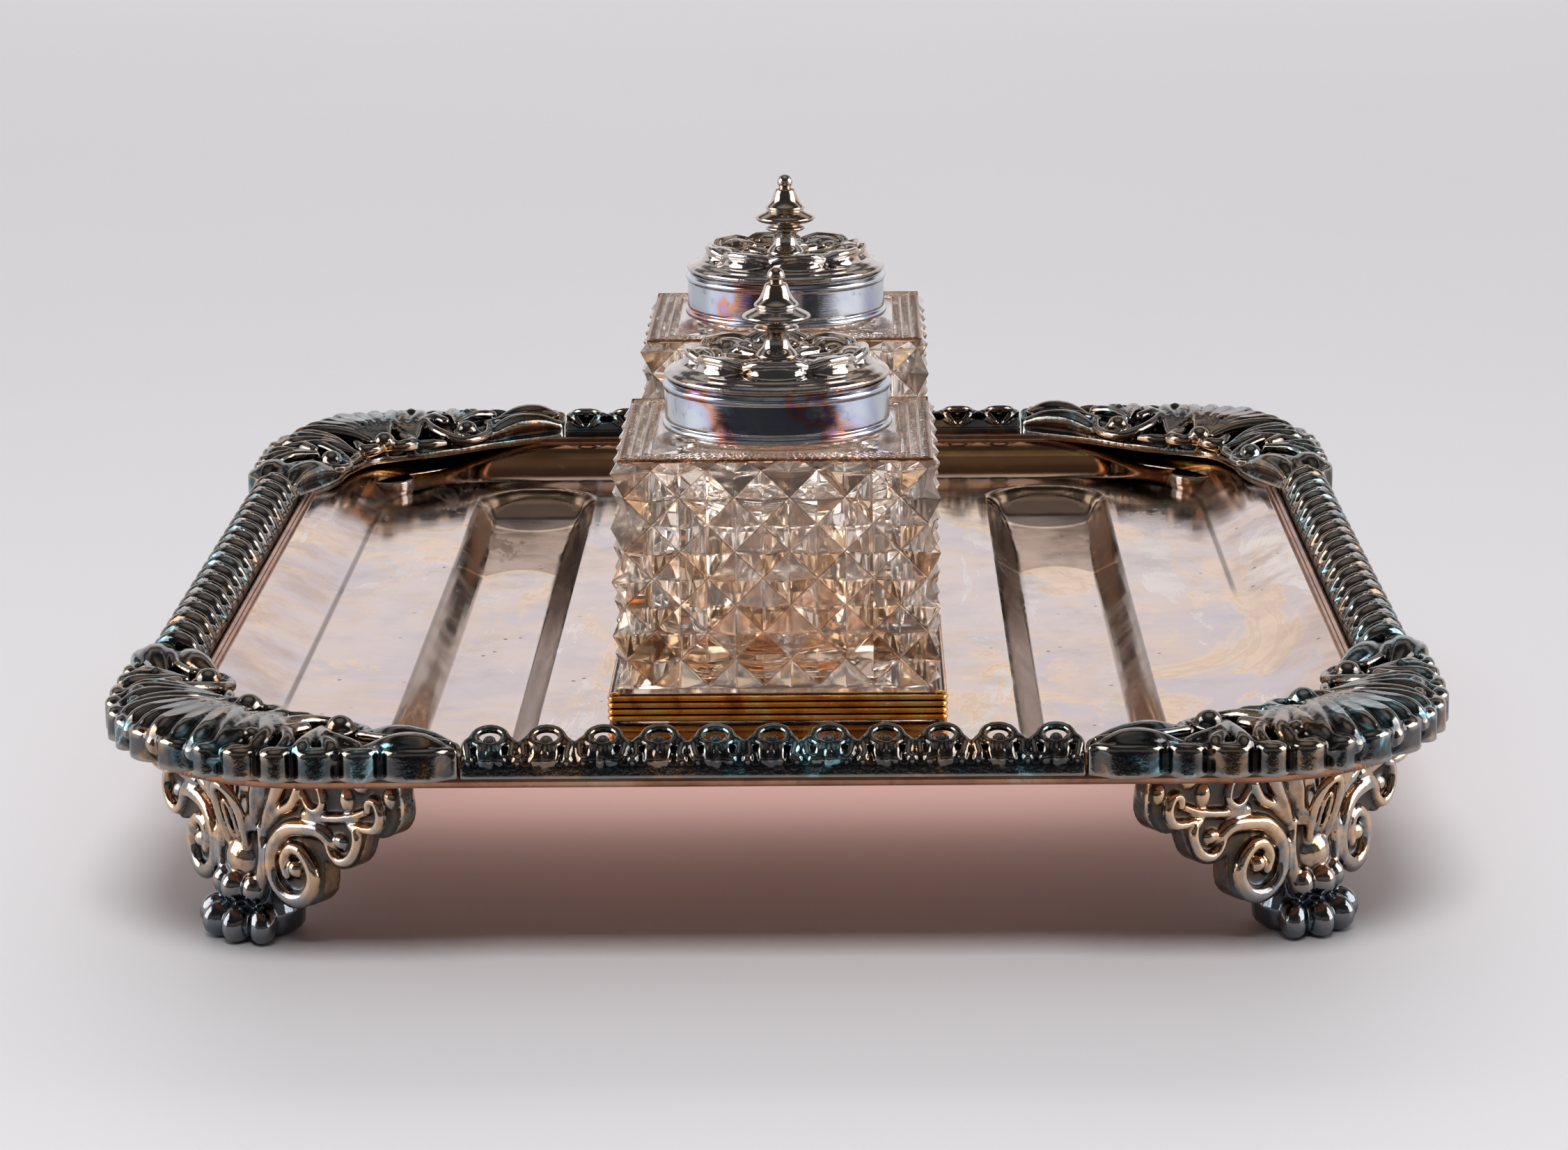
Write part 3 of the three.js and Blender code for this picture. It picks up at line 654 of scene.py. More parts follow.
# ---- tray -----------------------------------------------------------------------------
SHEET = 1.8
WALL_HEAD = 5.1
LIP_X, LIP_Y = strip_low[0] - 0.6, end_low[1] - 0.6
WALL_X, WALL_Y = 13.0, 16.0
FOOT_X, FOOT_Y = LIP_X - 1.6 - WALL_X, LIP_Y - 1.6 - WALL_Y
FOOT_ROUND, LIP_ROUND = 24.0, 37.0


def outside_rounded(x, y, half_x, half_y, radius):
    """Distance outside a rounded rectangle, negative inside."""
    qx, qy = np.abs(x) - (half_x - radius), np.abs(y) - (half_y - radius)
    out = np.hypot(np.maximum(qx, 0), np.maximum(qy, 0))
    return out + np.minimum(np.maximum(qx, qy), 0) - radius


def wall_share(x, y):
    """How far up the curved wall a point of the tray lies: 0 at its foot, 1 at its head."""
    low, high = np.full(x.shape, -2.0), np.full(x.shape, 2.5)
    for _ in range(26):
        t = (low + high) / 2
        out = outside_rounded(x, y, FOOT_X + WALL_X * t, FOOT_Y + WALL_Y * t,
                              FOOT_ROUND + WALL_X * t)
        low, high = np.where(out > 0, t, low), np.where(out > 0, high, t)
    return (low + high) / 2


def trough_depth(x, y):
    """Depth of the pen troughs: sloped sides, and a scooped bowl at the rear end."""
    ax, ay = np.abs(x), np.abs(y)
    middle, half = (TROUGH_IN + TROUGH_OUT) / 2, (TROUGH_OUT - TROUGH_IN) / 2
    end = TROUGH_END - half
    reach = half - np.where(ay > end, np.hypot(ax - middle, ay - end), np.abs(ax - middle))
    slope = np.clip(reach / 5.4, 0, 1)
    side = 0.3 * ease(slope) + 0.7 * slope
    from_end = TROUGH_END - y
    scoop = np.interp(from_end, [0, 4, 13, 22, 38, 60], [0.10, 0.34, 0.66, 0.80, 0.94, 1.0])
    return TROUGH_DEEP * np.minimum(side, scoop) * (reach > 0)


def tray_height(x, y):
    t = wall_share(x, y)
    z = FLOOR_Z + WALL_HEAD * ease(t)
    past = outside_rounded(x, y, LIP_X, LIP_Y, LIP_ROUND + 1)
    ledge = ease((past + 1.9) / 0.5)
    z = np.where(t > 1, FLANGE_Z + 0.5, z)
    z = z + (FLANGE_Z + 1.5 - z) * ledge * (past > -1.9)
    z = z - 0.35 * np.exp(-((past + 0.75) / 0.16) ** 2)
    z = np.where(past > -0.12, FLANGE_Z, z)
    return z - trough_depth(x, y)


def spaced(low, high, step):
    return list(np.linspace(low, high, max(2, int(round((high - low) / step)) + 1)))


def make_tray():
    flange_x, flange_y = tray_high[0], tray_high[1]
    half_x = spaced(0, TROUGH_IN, 2.2) + spaced(TROUGH_IN + 0.05, TROUGH_OUT - 0.05, 0.9) \
        + spaced(TROUGH_OUT, FOOT_X, 1.6) + spaced(FOOT_X + 0.6, LIP_X - 2.0, 0.75) \
        + spaced(LIP_X - 1.85, LIP_X + 0.05, 0.17) + spaced(LIP_X + 1.5, flange_x, 2.5)
    half_y = spaced(0, 60, 2.2) + spaced(61.2, FOOT_Y, 1.1) \
        + spaced(FOOT_Y + 0.6, LIP_Y - 2.0, 0.75) \
        + spaced(LIP_Y - 1.85, LIP_Y + 0.05, 0.17) + spaced(LIP_Y + 1.5, flange_y, 2.5)
    xs = np.array([-v for v in half_x[:0:-1]] + half_x)
    ys = np.array([-v for v in half_y[:0:-1]] + half_y)
    gx, gy = np.meshgrid(xs, ys)
    radius = 31.5
    cx, cy = flange_x - radius, flange_y - radius
    dx, dy = np.abs(gx) - cx, np.abs(gy) - cy
    reach = np.hypot(np.maximum(dx, 0), np.maximum(dy, 0))
    over = (dx > 0) & (dy > 0) & (reach > radius)
    pull = np.where(over, radius / np.maximum(reach, 1e-9), 1.0)
    px = np.where(over, np.sign(gx) * (cx + dx * pull), gx)
    py = np.where(over, np.sign(gy) * (cy + dy * pull), gy)
    top = tray_height(px, py)
    highest = FLANGE_Z - SHEET
    soft = FLOOR_Z + WALL_HEAD * ease(wall_share(px, py)) - trough_depth(px, py)
    low = np.minimum(soft - SHEET, highest)
    rows, columns = gx.shape
    upper = np.stack([px, py, top], -1).reshape(-1, 3)
    lower = np.stack([px, py, low], -1).reshape(-1, 3)
    count = len(upper)
    faces, picks = [], []
    outside = over.reshape(-1)
    lip = outside_rounded(px, py, LIP_X, LIP_Y, LIP_ROUND + 1).reshape(-1)

    def corner(i, j):
        return i * columns + j

    for i in range(rows - 1):
        for j in range(columns - 1):
            quad = (corner(i, j), corner(i, j + 1), corner(i + 1, j + 1), corner(i + 1, j))
            if sum(outside[k] for k in quad) >= 3:
                continue
            faces.append(quad)
            picks.append(1 if min(lip[k] for k in quad) > -1.95 else 0)
            faces.append(tuple(k + count for k in quad[::-1]))
            picks.append(1)
    edge = {}
    for quad in [f for f in faces if f[0] < count]:
        for a, b in zip(quad, quad[1:] + quad[:1]):
            edge[(a, b)] = edge.get((a, b), 0) + 1
    for a, b in list(edge):
        if (b, a) not in edge:
            faces.append((b, a, a + count, b + count))
            picks.append(1)
    points = np.vstack([upper, lower])
    used = np.zeros(len(points), bool)
    for f in faces:
        used[list(f)] = True
    remap = np.cumsum(used) - 1
    faces = [tuple(int(remap[i]) for i in f) for f in faces]
    return piece("tray", points[used], faces, "stand", ["tray_plate"],
                 [TRAY_SILVER, BARE_COPPER], picks=picks)


make_tray()

# ---- border strips --------------------------------------------------------------------
def unit_object(name, points, faces):
    obj = placed(name, plain_mesh(name, points, faces))
    obj.hide_render = True
    return obj


def repeat_tree(round_axis):
    """Copies of one unit in a row along Y, or round the Z axis, each a little different."""
    tree = bpy.data.node_groups.new("ring_of_units" if round_axis else "row_of_units",
                                    "GeometryNodeTree")
    sockets = tree.interface
    sockets.new_socket("Geometry", in_out="OUTPUT", socket_type="NodeSocketGeometry")
    sockets.new_socket("Geometry", in_out="INPUT", socket_type="NodeSocketGeometry")
    for label, kind in [("Unit", "Object"), ("Count", "Int"), ("Pitch", "Float"),
                        ("Start", "Vector"), ("Wobble", "Float"), ("Seed", "Int"),
                        ("Finish", "Material")]:
        sockets.new_socket(label, in_out="INPUT", socket_type="NodeSocket" + kind)

    def node(kind, settings=(), links=()):
        made = tree.nodes.new(kind)
        for key, value in settings:
            setattr(made, key, value)
        for key, value in links:
            if hasattr(value, "is_output"):
                tree.links.new(value, made.inputs[key])
            else:
                made.inputs[key].default_value = value
        return made

    def maths(operation, first, second):
        return node("ShaderNodeMath", [("operation", operation)],
                    [(0, first), (1, second)]).outputs[0]

    given = node("NodeGroupInput").outputs
    offset = (0, 0, 0)
    if not round_axis:
        offset = node("ShaderNodeCombineXYZ", [], [("Y", given["Pitch"])]).outputs[0]
    line = node("GeometryNodeMeshLine", [], [("Count", given["Count"]),
                                             ("Start Location", given["Start"]),
                                             ("Offset", offset)])
    shape = node("GeometryNodeObjectInfo", [], [("Object", given["Unit"])]).outputs["Geometry"]
    chance = node("FunctionNodeRandomValue", [("data_type", "FLOAT")],
                  [(2, -1.0), (3, 1.0), ("Seed", given["Seed"])]).outputs[1]
    sway = maths("MULTIPLY", chance, given["Wobble"])
    if round_axis:
        index = node("GeometryNodeInputIndex").outputs[0]
        turn = maths("MULTIPLY", index, maths("DIVIDE", 2 * math.pi, given["Count"]))
        sway = maths("ADD", turn, sway)
    angles = node("ShaderNodeCombineXYZ", [], [("Z", sway)]).outputs[0]
    placed = node("GeometryNodeInstanceOnPoints", [],
                  [("Points", line.outputs[0]), ("Instance", shape), ("Rotation", angles)])
    plain = node("GeometryNodeRealizeInstances", [], [(0, placed.outputs[0])])
    finish = node("GeometryNodeSetMaterial", [],
                  [("Geometry", plain.outputs[0]), ("Material", given["Finish"])])
    node("NodeGroupOutput", [], [(0, finish.outputs[0])])
    return tree


ROW_TREE, RING_TREE = repeat_tree(False), repeat_tree(True)


def repeated(tree, shape, finish, **values):
    """Points and faces of a unit repeated by its tree, in millimetres."""
    source = unit_object("unit", shape.all_points(), shape.faces)
    holder = unit_object("repeat", [(0, 0, 0)], [])
    modifier = holder.modifiers.new("repeat", "NODES")
    modifier.node_group = tree
    values = {"Unit": source, "Finish": finish, "Seed": SEED, **values}
    for item in tree.interface.items_tree:
        if item.in_out == "INPUT" and item.name in values:
            modifier[item.identifier] = values[item.name]
    mesh = evaluated(holder)
    points, faces = mesh_arrays(mesh)
    bpy.data.meshes.remove(mesh)
    old = source.data
    bpy.data.objects.remove(source)
    bpy.data.meshes.remove(old)
    return points, faces


def row_of(shape, count, half, wobble=0.0, x=0.0):
    """Copies of a unit spread evenly along Y from -half to half."""
    pitch = 2 * half / count
    return repeated(ROW_TREE, shape, SILVER_DARK, Count=count, Pitch=pitch * MM, Wobble=wobble,
                    Start=Vector((x * MM, (-half + pitch / 2) * MM, 0)))


def gadroon(inner, outer, base):
    """One slanted shell of the side border: a rolled loop, ribs and an inner bud."""
    wide = outer - inner
    s = Shape()

    def at(u, y, z, r):
        return (inner + wide * u, y, base + z, r)

    rod(s, [at(0.10, -1.1, 2.0, 1.1), at(0.30, -0.7, 4.3, 1.5), at(0.55, 0.1, 4.9, 1.7),
            at(0.80, 0.9, 3.9, 1.6), at(0.93, 1.4, 2.2, 1.0)])
    rod(s, [at(0.62, -2.3, 4.2, 0.75), at(0.80, -1.6, 3.9, 1.0), at(0.94, -1.0, 2.4, 0.8)])
    rod(s, [at(0.18, 1.9, 3.3, 0.55), at(0.28, 2.5, 4.7, 0.6), at(0.46, 2.6, 5.7, 0.62),
            at(0.58, 1.6, 6.05, 0.62), at(0.50, 0.3, 6.0, 0.6), at(0.30, 0.0, 5.2, 0.55),
            at(0.20, 0.9, 4.1, 0.5)])
    ball(s, at(0.38, 1.3, 4.3, 0), (1.5, 1.0, 0.8))
    ball(s, at(0.10, 0.6, 2.9, 0), (0.9, 1.3, 1.1))
    return s


def rail(shape, inner, outer, half, profile):
    """Straight base of a strip along Y: profile pairs are share of width and height."""
    wide = outer - inner
    loops = [[(inner + wide * u, y, z) for u, z in profile] for y in np.linspace(-half, half, 9)]
    return shape.add(*loft(loops))


def trim(points, half, base):
    """Flat ends and a flat underside for a strip."""
    points[:, 1] = np.clip(points[:, 1], -half, half)
    points[:, 2] = np.maximum(points[:, 2], base)


def make_side_strips():
    low, high = node_box("border_side_right")
    inner, outer, half, base = low[0], high[0], high[1], low[2]
    s = Shape().add(*row_of(gadroon(inner, outer, base), 19, half), closed=False)
    rail(s, inner, outer, half, [(0, base), (1, base), (1, base + 1.6), (0.97, base + 2.6),
                                 (0.80, base + 3.2), (0.25, base + 3.2), (0.04, base + 2.2),
                                 (0, base + 1.4)])
    points, faces, relief = cast(s, 0.32, 2)
    trim(points, half, base)
    for name, sx in (("right", 1), ("left", -1)):
        p, f = mirrored(points, faces, sx, 1)
        piece("border_side_shells_" + name, p, f, "stand", ["border_side_" + name],
              [SILVER_DARK], relief)


def rosette(inner, outer, base):
    """One shell flower of the front and rear borders, across the strip along X."""
    wide = outer - inner
    s = Shape()

    def at(u, y, z, r=0):
        return (wide * (u - 0.5), y, base + z, r)

    turn = np.linspace(0.35, 2 * np.pi - 0.35, 9)
    rod(s, [at(0.42 + 0.30 * math.cos(a), 2.5 * math.sin(a), 5.4 - 0.9 * math.cos(a), 0.72)
            for a in turn], steps=4)
    ball(s, at(0.45, 0, 4.9), (1.1, 1.1, 1.0))
    for side in (-1, 1):
        rod(s, [at(0.12, side * 1.0, 3.4, 0.6), at(0.25, side * 2.4, 4.6, 0.8),
                at(0.55, side * 3.5, 4.6, 0.9), at(0.84, side * 3.3, 3.4, 0.7)])
        rod(s, [at(0.62, side * 0.9, 5.0, 0.5), at(0.80, side * 1.4, 4.2, 0.75),
                at(0.93, side * 1.3, 3.0, 0.6)])
    rod(s, [at(0.70, 0, 4.9, 0.5), at(0.86, 0, 4.0, 0.75), at(0.95, 0, 2.9, 0.6)])
    return s


def make_end_strips():
    low, high = node_box("border_end_rear")
    inner, outer, half, base = low[1], high[1], high[0], low[2]
    flowers = row_of(rosette(inner, outer, base), 11, half, 0.08, (inner + outer) / 2)
    s = Shape().add(*flowers, closed=False)
    bead = ball(Shape(), (outer - 0.75, 0, base + 2.9), (0.75, 0.85, 0.8), sides=10, rings=7)
    s.add(*row_of(bead, 38, half), closed=False)
    rail(s, inner, outer, half, [(0, base), (0.98, base), (0.98, base + 2.3), (0.90, base + 2.9),
                                 (0.85, base + 3.6), (0.2, base + 3.8), (0, base + 2.4)])
    points, faces, relief = cast(s, 0.28, 2)
    trim(points, half, base)
    for name, side in (("rear", 1), ("front", -1)):
        p = np.stack([-side * points[:, 1], side * points[:, 0], points[:, 2]], 1)
        piece("border_end_rosettes_" + name, p, faces, "stand",
              ["border_end_" + name], [SILVER_DARK], relief)


# ---- corner mounts --------------------------------------------------------------------
CORNER_NAMES = {"front_left": (-1, -1), "front_right": (1, -1), "rear_left": (-1, 1),
                "rear_right": (1, 1)}
corner_low, corner_high = node_box("border_corner_rear_right")
CORNER_ROUND = 36.0
CORNER_SIDE, CORNER_END = corner_low[1], corner_low[0]
CORNER_X, CORNER_Y = HALF_X - CORNER_ROUND + 2, HALF_Y - CORNER_ROUND
CORNER_LONG = (CORNER_Y - CORNER_SIDE) + math.pi / 2 * CORNER_ROUND + (CORNER_X - CORNER_END)
INSIDE_STEPS = 240
INSIDE = smooth_line([(strip_low[0], CORNER_SIDE), (HALF_X - 14.5, HALF_Y - 51),
                      (HALF_X - 16.5, HALF_Y - 39), (HALF_X - 21, HALF_Y - 29.5),
                      (HALF_X - 32, HALF_Y - 23.5), (HALF_X - 44, HALF_Y - 15),
                      (CORNER_END, end_low[1])], INSIDE_STEPS + 1)


def corner_outside(t):
    """Plan point of the outer edge and its outward direction, t from the side to the end."""
    s = t * CORNER_LONG
    first, bend = CORNER_Y - CORNER_SIDE, math.pi / 2 * CORNER_ROUND
    if s < first:
        return np.array([HALF_X, CORNER_SIDE + s]), np.array([1.0, 0.0])
    if s > first + bend:
        return np.array([CORNER_X - (s - first - bend), HALF_Y]), np.array([0.0, 1.0])
    a = (s - first) / CORNER_ROUND
    way = np.array([math.cos(a), math.sin(a)])
    return np.array([CORNER_X + (HALF_X - CORNER_X) * way[0],
                     CORNER_Y + CORNER_ROUND * way[1]]), way


SCALLOPS = [0.0, 0.105, 0.155, 0.215, 0.285, 0.335, 0.395, 0.445, 0.523, 0.60, 0.65, 0.71,
            0.765, 0.83, 0.89, 1.0]


def scallop(t):
    """Swell of the outer wall: rounded lobes that meet in creases."""
    k = min(max(int(np.searchsorted(SCALLOPS, t, "right")) - 1, 0), len(SCALLOPS) - 2)
    a, b = SCALLOPS[k], SCALLOPS[k + 1]
    return math.sqrt(max(0.0, 1 - (2 * (t - a) / (b - a) - 1) ** 2))


def inside_at(t):
    return INSIDE[int(round(min(max(t, 0), 1) * INSIDE_STEPS))]


def corner_point(t, u, z):
    """Place on the mount: t along it, u from the outer edge inwards, z above its underside."""
    edge, _ = corner_outside(t)
    plan = edge + (inside_at(t) - edge) * u
    return (plan[0], plan[1], BORDER_Z + z)


def corner_base(s):
    loops = []
    for t in np.linspace(0, 1, 181):
        edge, way = corner_outside(t)
        inner = inside_at(t)
        ending = float(ease(min(t, 1 - t) * 30))
        lobe = scallop(t)
        outer = edge + way * (ending * (2.95 * lobe - 0.85) - 0.1)

        def at(u, z):
            plan = outer + (inner - outer) * u
            return (plan[0], plan[1], BORDER_Z + z)

        loops.append([at(1, 0), at(0, 0), at(0, 4.0 + 0.7 * lobe), at(0.03, 4.5 + 0.75 * lobe),
                      at(0.10, 4.7 + 0.8 * lobe), at(0.22, 4.0), at(0.6, 3.4), at(0.92, 2.5),
                      at(1, 1.4)])
    s.add(*loft(loops))


def corner_bars(s, t_of):
    """Draws bars on the mount from (t, u, z, radius) stations."""
    def bar(stations, flat=1.0):
        rod(s, [(*corner_point(t_of(t), u, z), r) for t, u, z, r in stations], flat)

    return bar


def corner_strokes(s, t_of):
    """Leaves, scrolls and buttons of one leg; t_of turns the leg the other way round."""
    bar = corner_bars(s, t_of)

    def bud(t, u, z, size, high=None):
        ball(s, corner_point(t_of(t), u, z), (size, size, high or size))

    bar([(0.020, 0.20, 3.6, 1.9), (0.055, 0.20, 4.4, 3.0), (0.095, 0.24, 4.3, 2.9),
         (0.145, 0.34, 3.4, 1.3)], 0.85)
    bar([(0.015, 0.74, 3.1, 1.6), (0.060, 0.70, 3.9, 2.5), (0.115, 0.76, 4.0, 2.7),
         (0.180, 0.92, 3.0, 1.2)], 0.85)
    bar([(0.015, 0.46, 4.8, 0.6), (0.07, 0.44, 5.4, 0.75), (0.125, 0.50, 5.0, 0.7),
         (0.175, 0.66, 4.5, 0.8)])
    for end_t, end_u, size in [(0.150, 0.06, 1.3), (0.185, 0.02, 1.7), (0.225, 0.0, 1.8)]:
        bar([(0.245, 0.62, 5.0, 0.7), ((0.245 + end_t) / 2, 0.34, 5.3, 1.0),
             (end_t, end_u + 0.08, 4.5, size), (end_t - 0.006, end_u, 3.3, size * 0.7)])
    bud(0.235, 0.84, 4.2, 2.3, 2.1)
    turn = np.linspace(0.3, 5.4, 8)
    bar([(0.235 + 0.027 * math.sin(a), 0.84 + 0.17 * math.cos(a), 3.8, 0.6) for a in turn])
    bar([(0.170, 0.70, 4.4, 0.8), (0.190, 0.99, 3.4, 0.9), (0.255, 1.06, 3.1, 1.0),
         (0.300, 0.88, 4.2, 1.1), (0.318, 0.60, 5.2, 1.2), (0.300, 0.40, 5.6, 1.0)])
    bar([(0.270, 0.55, 5.2, 1.2), (0.282, 0.40, 5.2, 1.5), (0.270, 0.28, 4.9, 1.2)])
    for end_t, size in [(0.262, 1.2), (0.302, 1.7), (0.342, 1.9), (0.378, 1.7)]:
        middle = 0.5 * (0.385 + end_t)
        bar([(0.385, 0.93, 3.6, 0.8), (middle + 0.01, 0.60, 5.2, 1.3),
             (end_t + 0.004, 0.26, 5.3, size), (end_t, 0.05, 3.9, size * 0.9)])
    bud(0.322, 0.20, 5.6, 1.5)
    bud(0.362, 0.16, 5.4, 1.2)
    bud(0.205, 0.30, 5.9, 0.9)
    bar([(0.40, 0.98, 3.2, 0.9), (0.35, 1.03, 3.3, 1.0), (0.31, 1.02, 3.1, 0.7)])


def corner_crown(s):
    """Shell at the very corner: leaves spreading from a button to the outer lobes."""
    bar = corner_bars(s, lambda t: t)
    middle = SCALLOPS[8]
    for step, size in [(-3, 1.8), (-2, 2.1), (-1, 2.2), (0, 2.6), (1, 2.2), (2, 2.1), (3, 1.8)]:
        t = middle + 0.040 * step
        bar([(middle + 0.006 * step, 0.92, 4.0, 0.8), (middle + 0.018 * step, 0.66, 5.5, 1.2),
             (middle + 0.031 * step, 0.36, 5.9, size * 0.85), (t, 0.10, 4.9, size),
             (t, 0.00, 3.4, size * 0.8)])
    ball(s, corner_point(middle, 0.97, 4.3), (2.4, 2.4, 2.2))
    for side in (-1, 1):
        bar([(middle + side * 0.012, 1.02, 3.4, 0.8), (middle + side * 0.05, 1.04, 3.6, 1.3),
             (middle + side * 0.085, 0.96, 3.4, 1.5), (middle + side * 0.075, 0.80, 4.2, 1.0)])
    ball(s, corner_point(middle, 0.30, 6.3), (2.0, 2.0, 1.4))


def four_corners(title, points, faces, node, material, relief):
    """The same casting at each corner of the stand."""
    for name, (sx, sy) in CORNER_NAMES.items():
        p, f = mirrored(points, faces, sx, sy)
        piece(title + name, p, f, "stand", [node + name], [material], relief)


def make_corners():
    s = Shape()
    corner_base(s)
    corner_strokes(s, lambda t: t)
    corner_strokes(s, lambda t: 1 - t)
    corner_crown(s)
    points, faces, relief = cast(s, 0.36, 2)
    points[:, 2] = np.clip(points[:, 2], BORDER_Z, corner_high[2])
    points[:, 0] = np.clip(points[:, 0], CORNER_END, corner_high[0])
    points[:, 1] = np.clip(points[:, 1], CORNER_SIDE, corner_high[1])
    four_corners("corner_mount_", points, faces, "border_corner_", SILVER_DARK,
                 relief)


# ---- feet -----------------------------------------------------------------------------
PAW_X, PAW_Y = HALF_X - 21, HALF_Y - 29.5
FOOT_TOP = node_levels("foot_rear_right")[2]

WINGS = [((-0.8, 0.6), (0.6, 0.8), 1.0), ((0.6, -0.8), (0.8, 0.6), 30 / 35)]
WING_FACE = 2.4


def wing_maker(along, outward, scale):
    """Place on a wing: k out from the ankle, z up, d forward of the wing's face."""
    along, outward = np.array(along), np.array(outward)

    def at(k, z, d=0.0):
        plan = np.array([PAW_X, PAW_Y]) + along * k * scale + outward * (WING_FACE + d)
        return (plan[0], plan[1], z)

    return at


def arc(centre_k, centre_z, radius, start, stop, count):
    """Points on a wing round a centre, from one angle to another in degrees."""
    a = np.radians(np.linspace(start, stop, count))
    return [(centre_k + radius * math.cos(v), centre_z + radius * math.sin(v)) for v in a]


WING_EDGE = [(-1, 9)] + arc(12.6, 13.6, 6.3, 205, 330, 13) + arc(21.8, 20.2, 5.0, 232, 338, 10) \
    + arc(30.6, 26.6, 4.6, 238, 368, 12) + [(35.0, 29.0), (34.4, 31.6), (-1, 31.6)]


def wing(s, along, outward, scale):
    at = wing_maker(along, outward, scale)
    up = (*outward, 0.0)
    back = [at(k, z, -4.2) for k, z in WING_EDGE]
    edge = [at(k, z, -0.9) for k, z in WING_EDGE]
    middle = np.mean([(k, z) for k, z in WING_EDGE], axis=0)
    front = [at(middle[0] + (k - middle[0]) * 0.975, middle[1] + (z - middle[1]) * 0.965, -0.1)
             for k, z in WING_EDGE]
    count = len(WING_EDGE)
    points = np.array(back + edge + front)
    faces = [(i + r * count, (i + 1) % count + r * count, (i + 1) % count + (r + 1) * count,
              i + (r + 1) * count) for r in (0, 1) for i in range(count)]
    faces += [tuple(range(count))[::-1], tuple(range(2 * count, 3 * count))]
    s.add(points, faces)

    def line(stations, flat=1.0, lift=0.0):
        rod(s, [(*at(k, z, lift + d), r) for k, z, d, r in stations], flat, up, steps=5)

    def bud(k, z, size, wide=1.0, high=1.0, d=0.0):
        turn = math.atan2(outward[1], outward[0])
        ball(s, at(k, z, d), (size * 0.9, size * wide, size * high), turn)

    spiral = [(20.4, 19.6, 0.0, 1.0), (18.2, 21.0, 0.2, 1.15), (15.0, 20.9, 0.3, 1.15),
              (11.2, 20.0, 0.4, 1.1), (8.4, 17.4, 0.5, 1.05), (7.4, 14.0, 0.5, 1.0),
              (8.4, 10.6, 0.5, 1.05), (11.4, 8.6, 0.5, 1.15), (14.6, 9.2, 0.5, 1.1),
              (16.4, 11.8, 0.5, 1.0), (16.2, 14.6, 0.55, 0.95), (14.2, 16.9, 0.6, 0.9),
              (11.8, 16.9, 0.6, 0.85), (10.4, 14.8, 0.6, 0.8), (11.0, 12.6, 0.6, 0.75)]
    line([(k, z, d, 1.25 * r) for k, z, d, r in spiral], 0.8)
    bud(12.9, 13.8, 1.5, d=0.3)
    line([(19.8, 20.8, 0.1, 0.75), (20.6, 18.2, 0.3, 0.85), (22.6, 16.8, 0.4, 0.9),
          (24.9, 17.7, 0.5, 0.9), (26.3, 20.0, 0.5, 0.85), (26.2, 22.3, 0.4, 0.75),
          (24.9, 23.0, 0.3, 0.6)])
    bud(22.6, 19.9, 1.5, 1.2, 1.0, -0.5)
    line([(25.4, 23.3, 0.0, 0.7), (28.0, 23.0, 0.2, 0.8), (30.6, 23.6, 0.4, 0.85),
          (31.7, 25.8, 0.5, 0.85), (30.8, 27.9, 0.5, 0.8), (29.2, 27.6, 0.5, 0.7),
          (29.1, 26.2, 0.5, 0.6)])
    line([(14.6, 26.4, 0.0, 0.6), (15.9, 24.6, 0.2, 0.7), (17.8, 24.2, 0.4, 0.75),
          (19.2, 25.6, 0.4, 0.7), (18.6, 27.8, 0.3, 0.6), (17.2, 28.4, 0.2, 0.5)])
    line([(15.0, 23.0, -0.2, 1.0), (20.0, 23.4, 0.0, 0.9), (25.0, 24.4, 0.0, 0.8),
          (28.6, 26.0, 0.0, 0.6)])
    bud(24.3, 27.2, 1.5, 1.0, 1.4, -0.2)
    bud(27.2, 30.0, 1.4, 1.3, 1.0, -0.2)
    bud(33.4, 28.8, 1.6, 1.0, 1.2, -0.6)
    bud(21.0, 30.0, 1.2, 1.5, 1.0, -0.3)
    line([(3.4, 19.0, 0.2, 0.8), (4.0, 22.5, 0.5, 1.0), (4.8, 26.0, 0.7, 1.2),
          (6.6, 28.2, 0.6, 1.2), (8.0, 27.0, 0.3, 0.8)])
    line([(5.6, 18.6, 0.0, 0.7), (7.0, 22.0, 0.3, 1.0), (8.8, 25.0, 0.5, 1.3),
          (10.2, 27.8, 0.5, 1.4), (11.0, 29.4, 0.2, 1.0)])
    line([(6.4, 19.6, 0.0, 0.6), (9.2, 22.4, 0.2, 0.8), (12.4, 24.4, 0.3, 1.0),
          (13.8, 27.2, 0.2, 0.9)])
    line([(3.8, 8.6, -0.2, 1.4), (5.2, 11.6, 0.0, 1.3), (5.6, 15.5, 0.0, 1.1),
          (5.0, 19.0, 0.0, 0.8)])


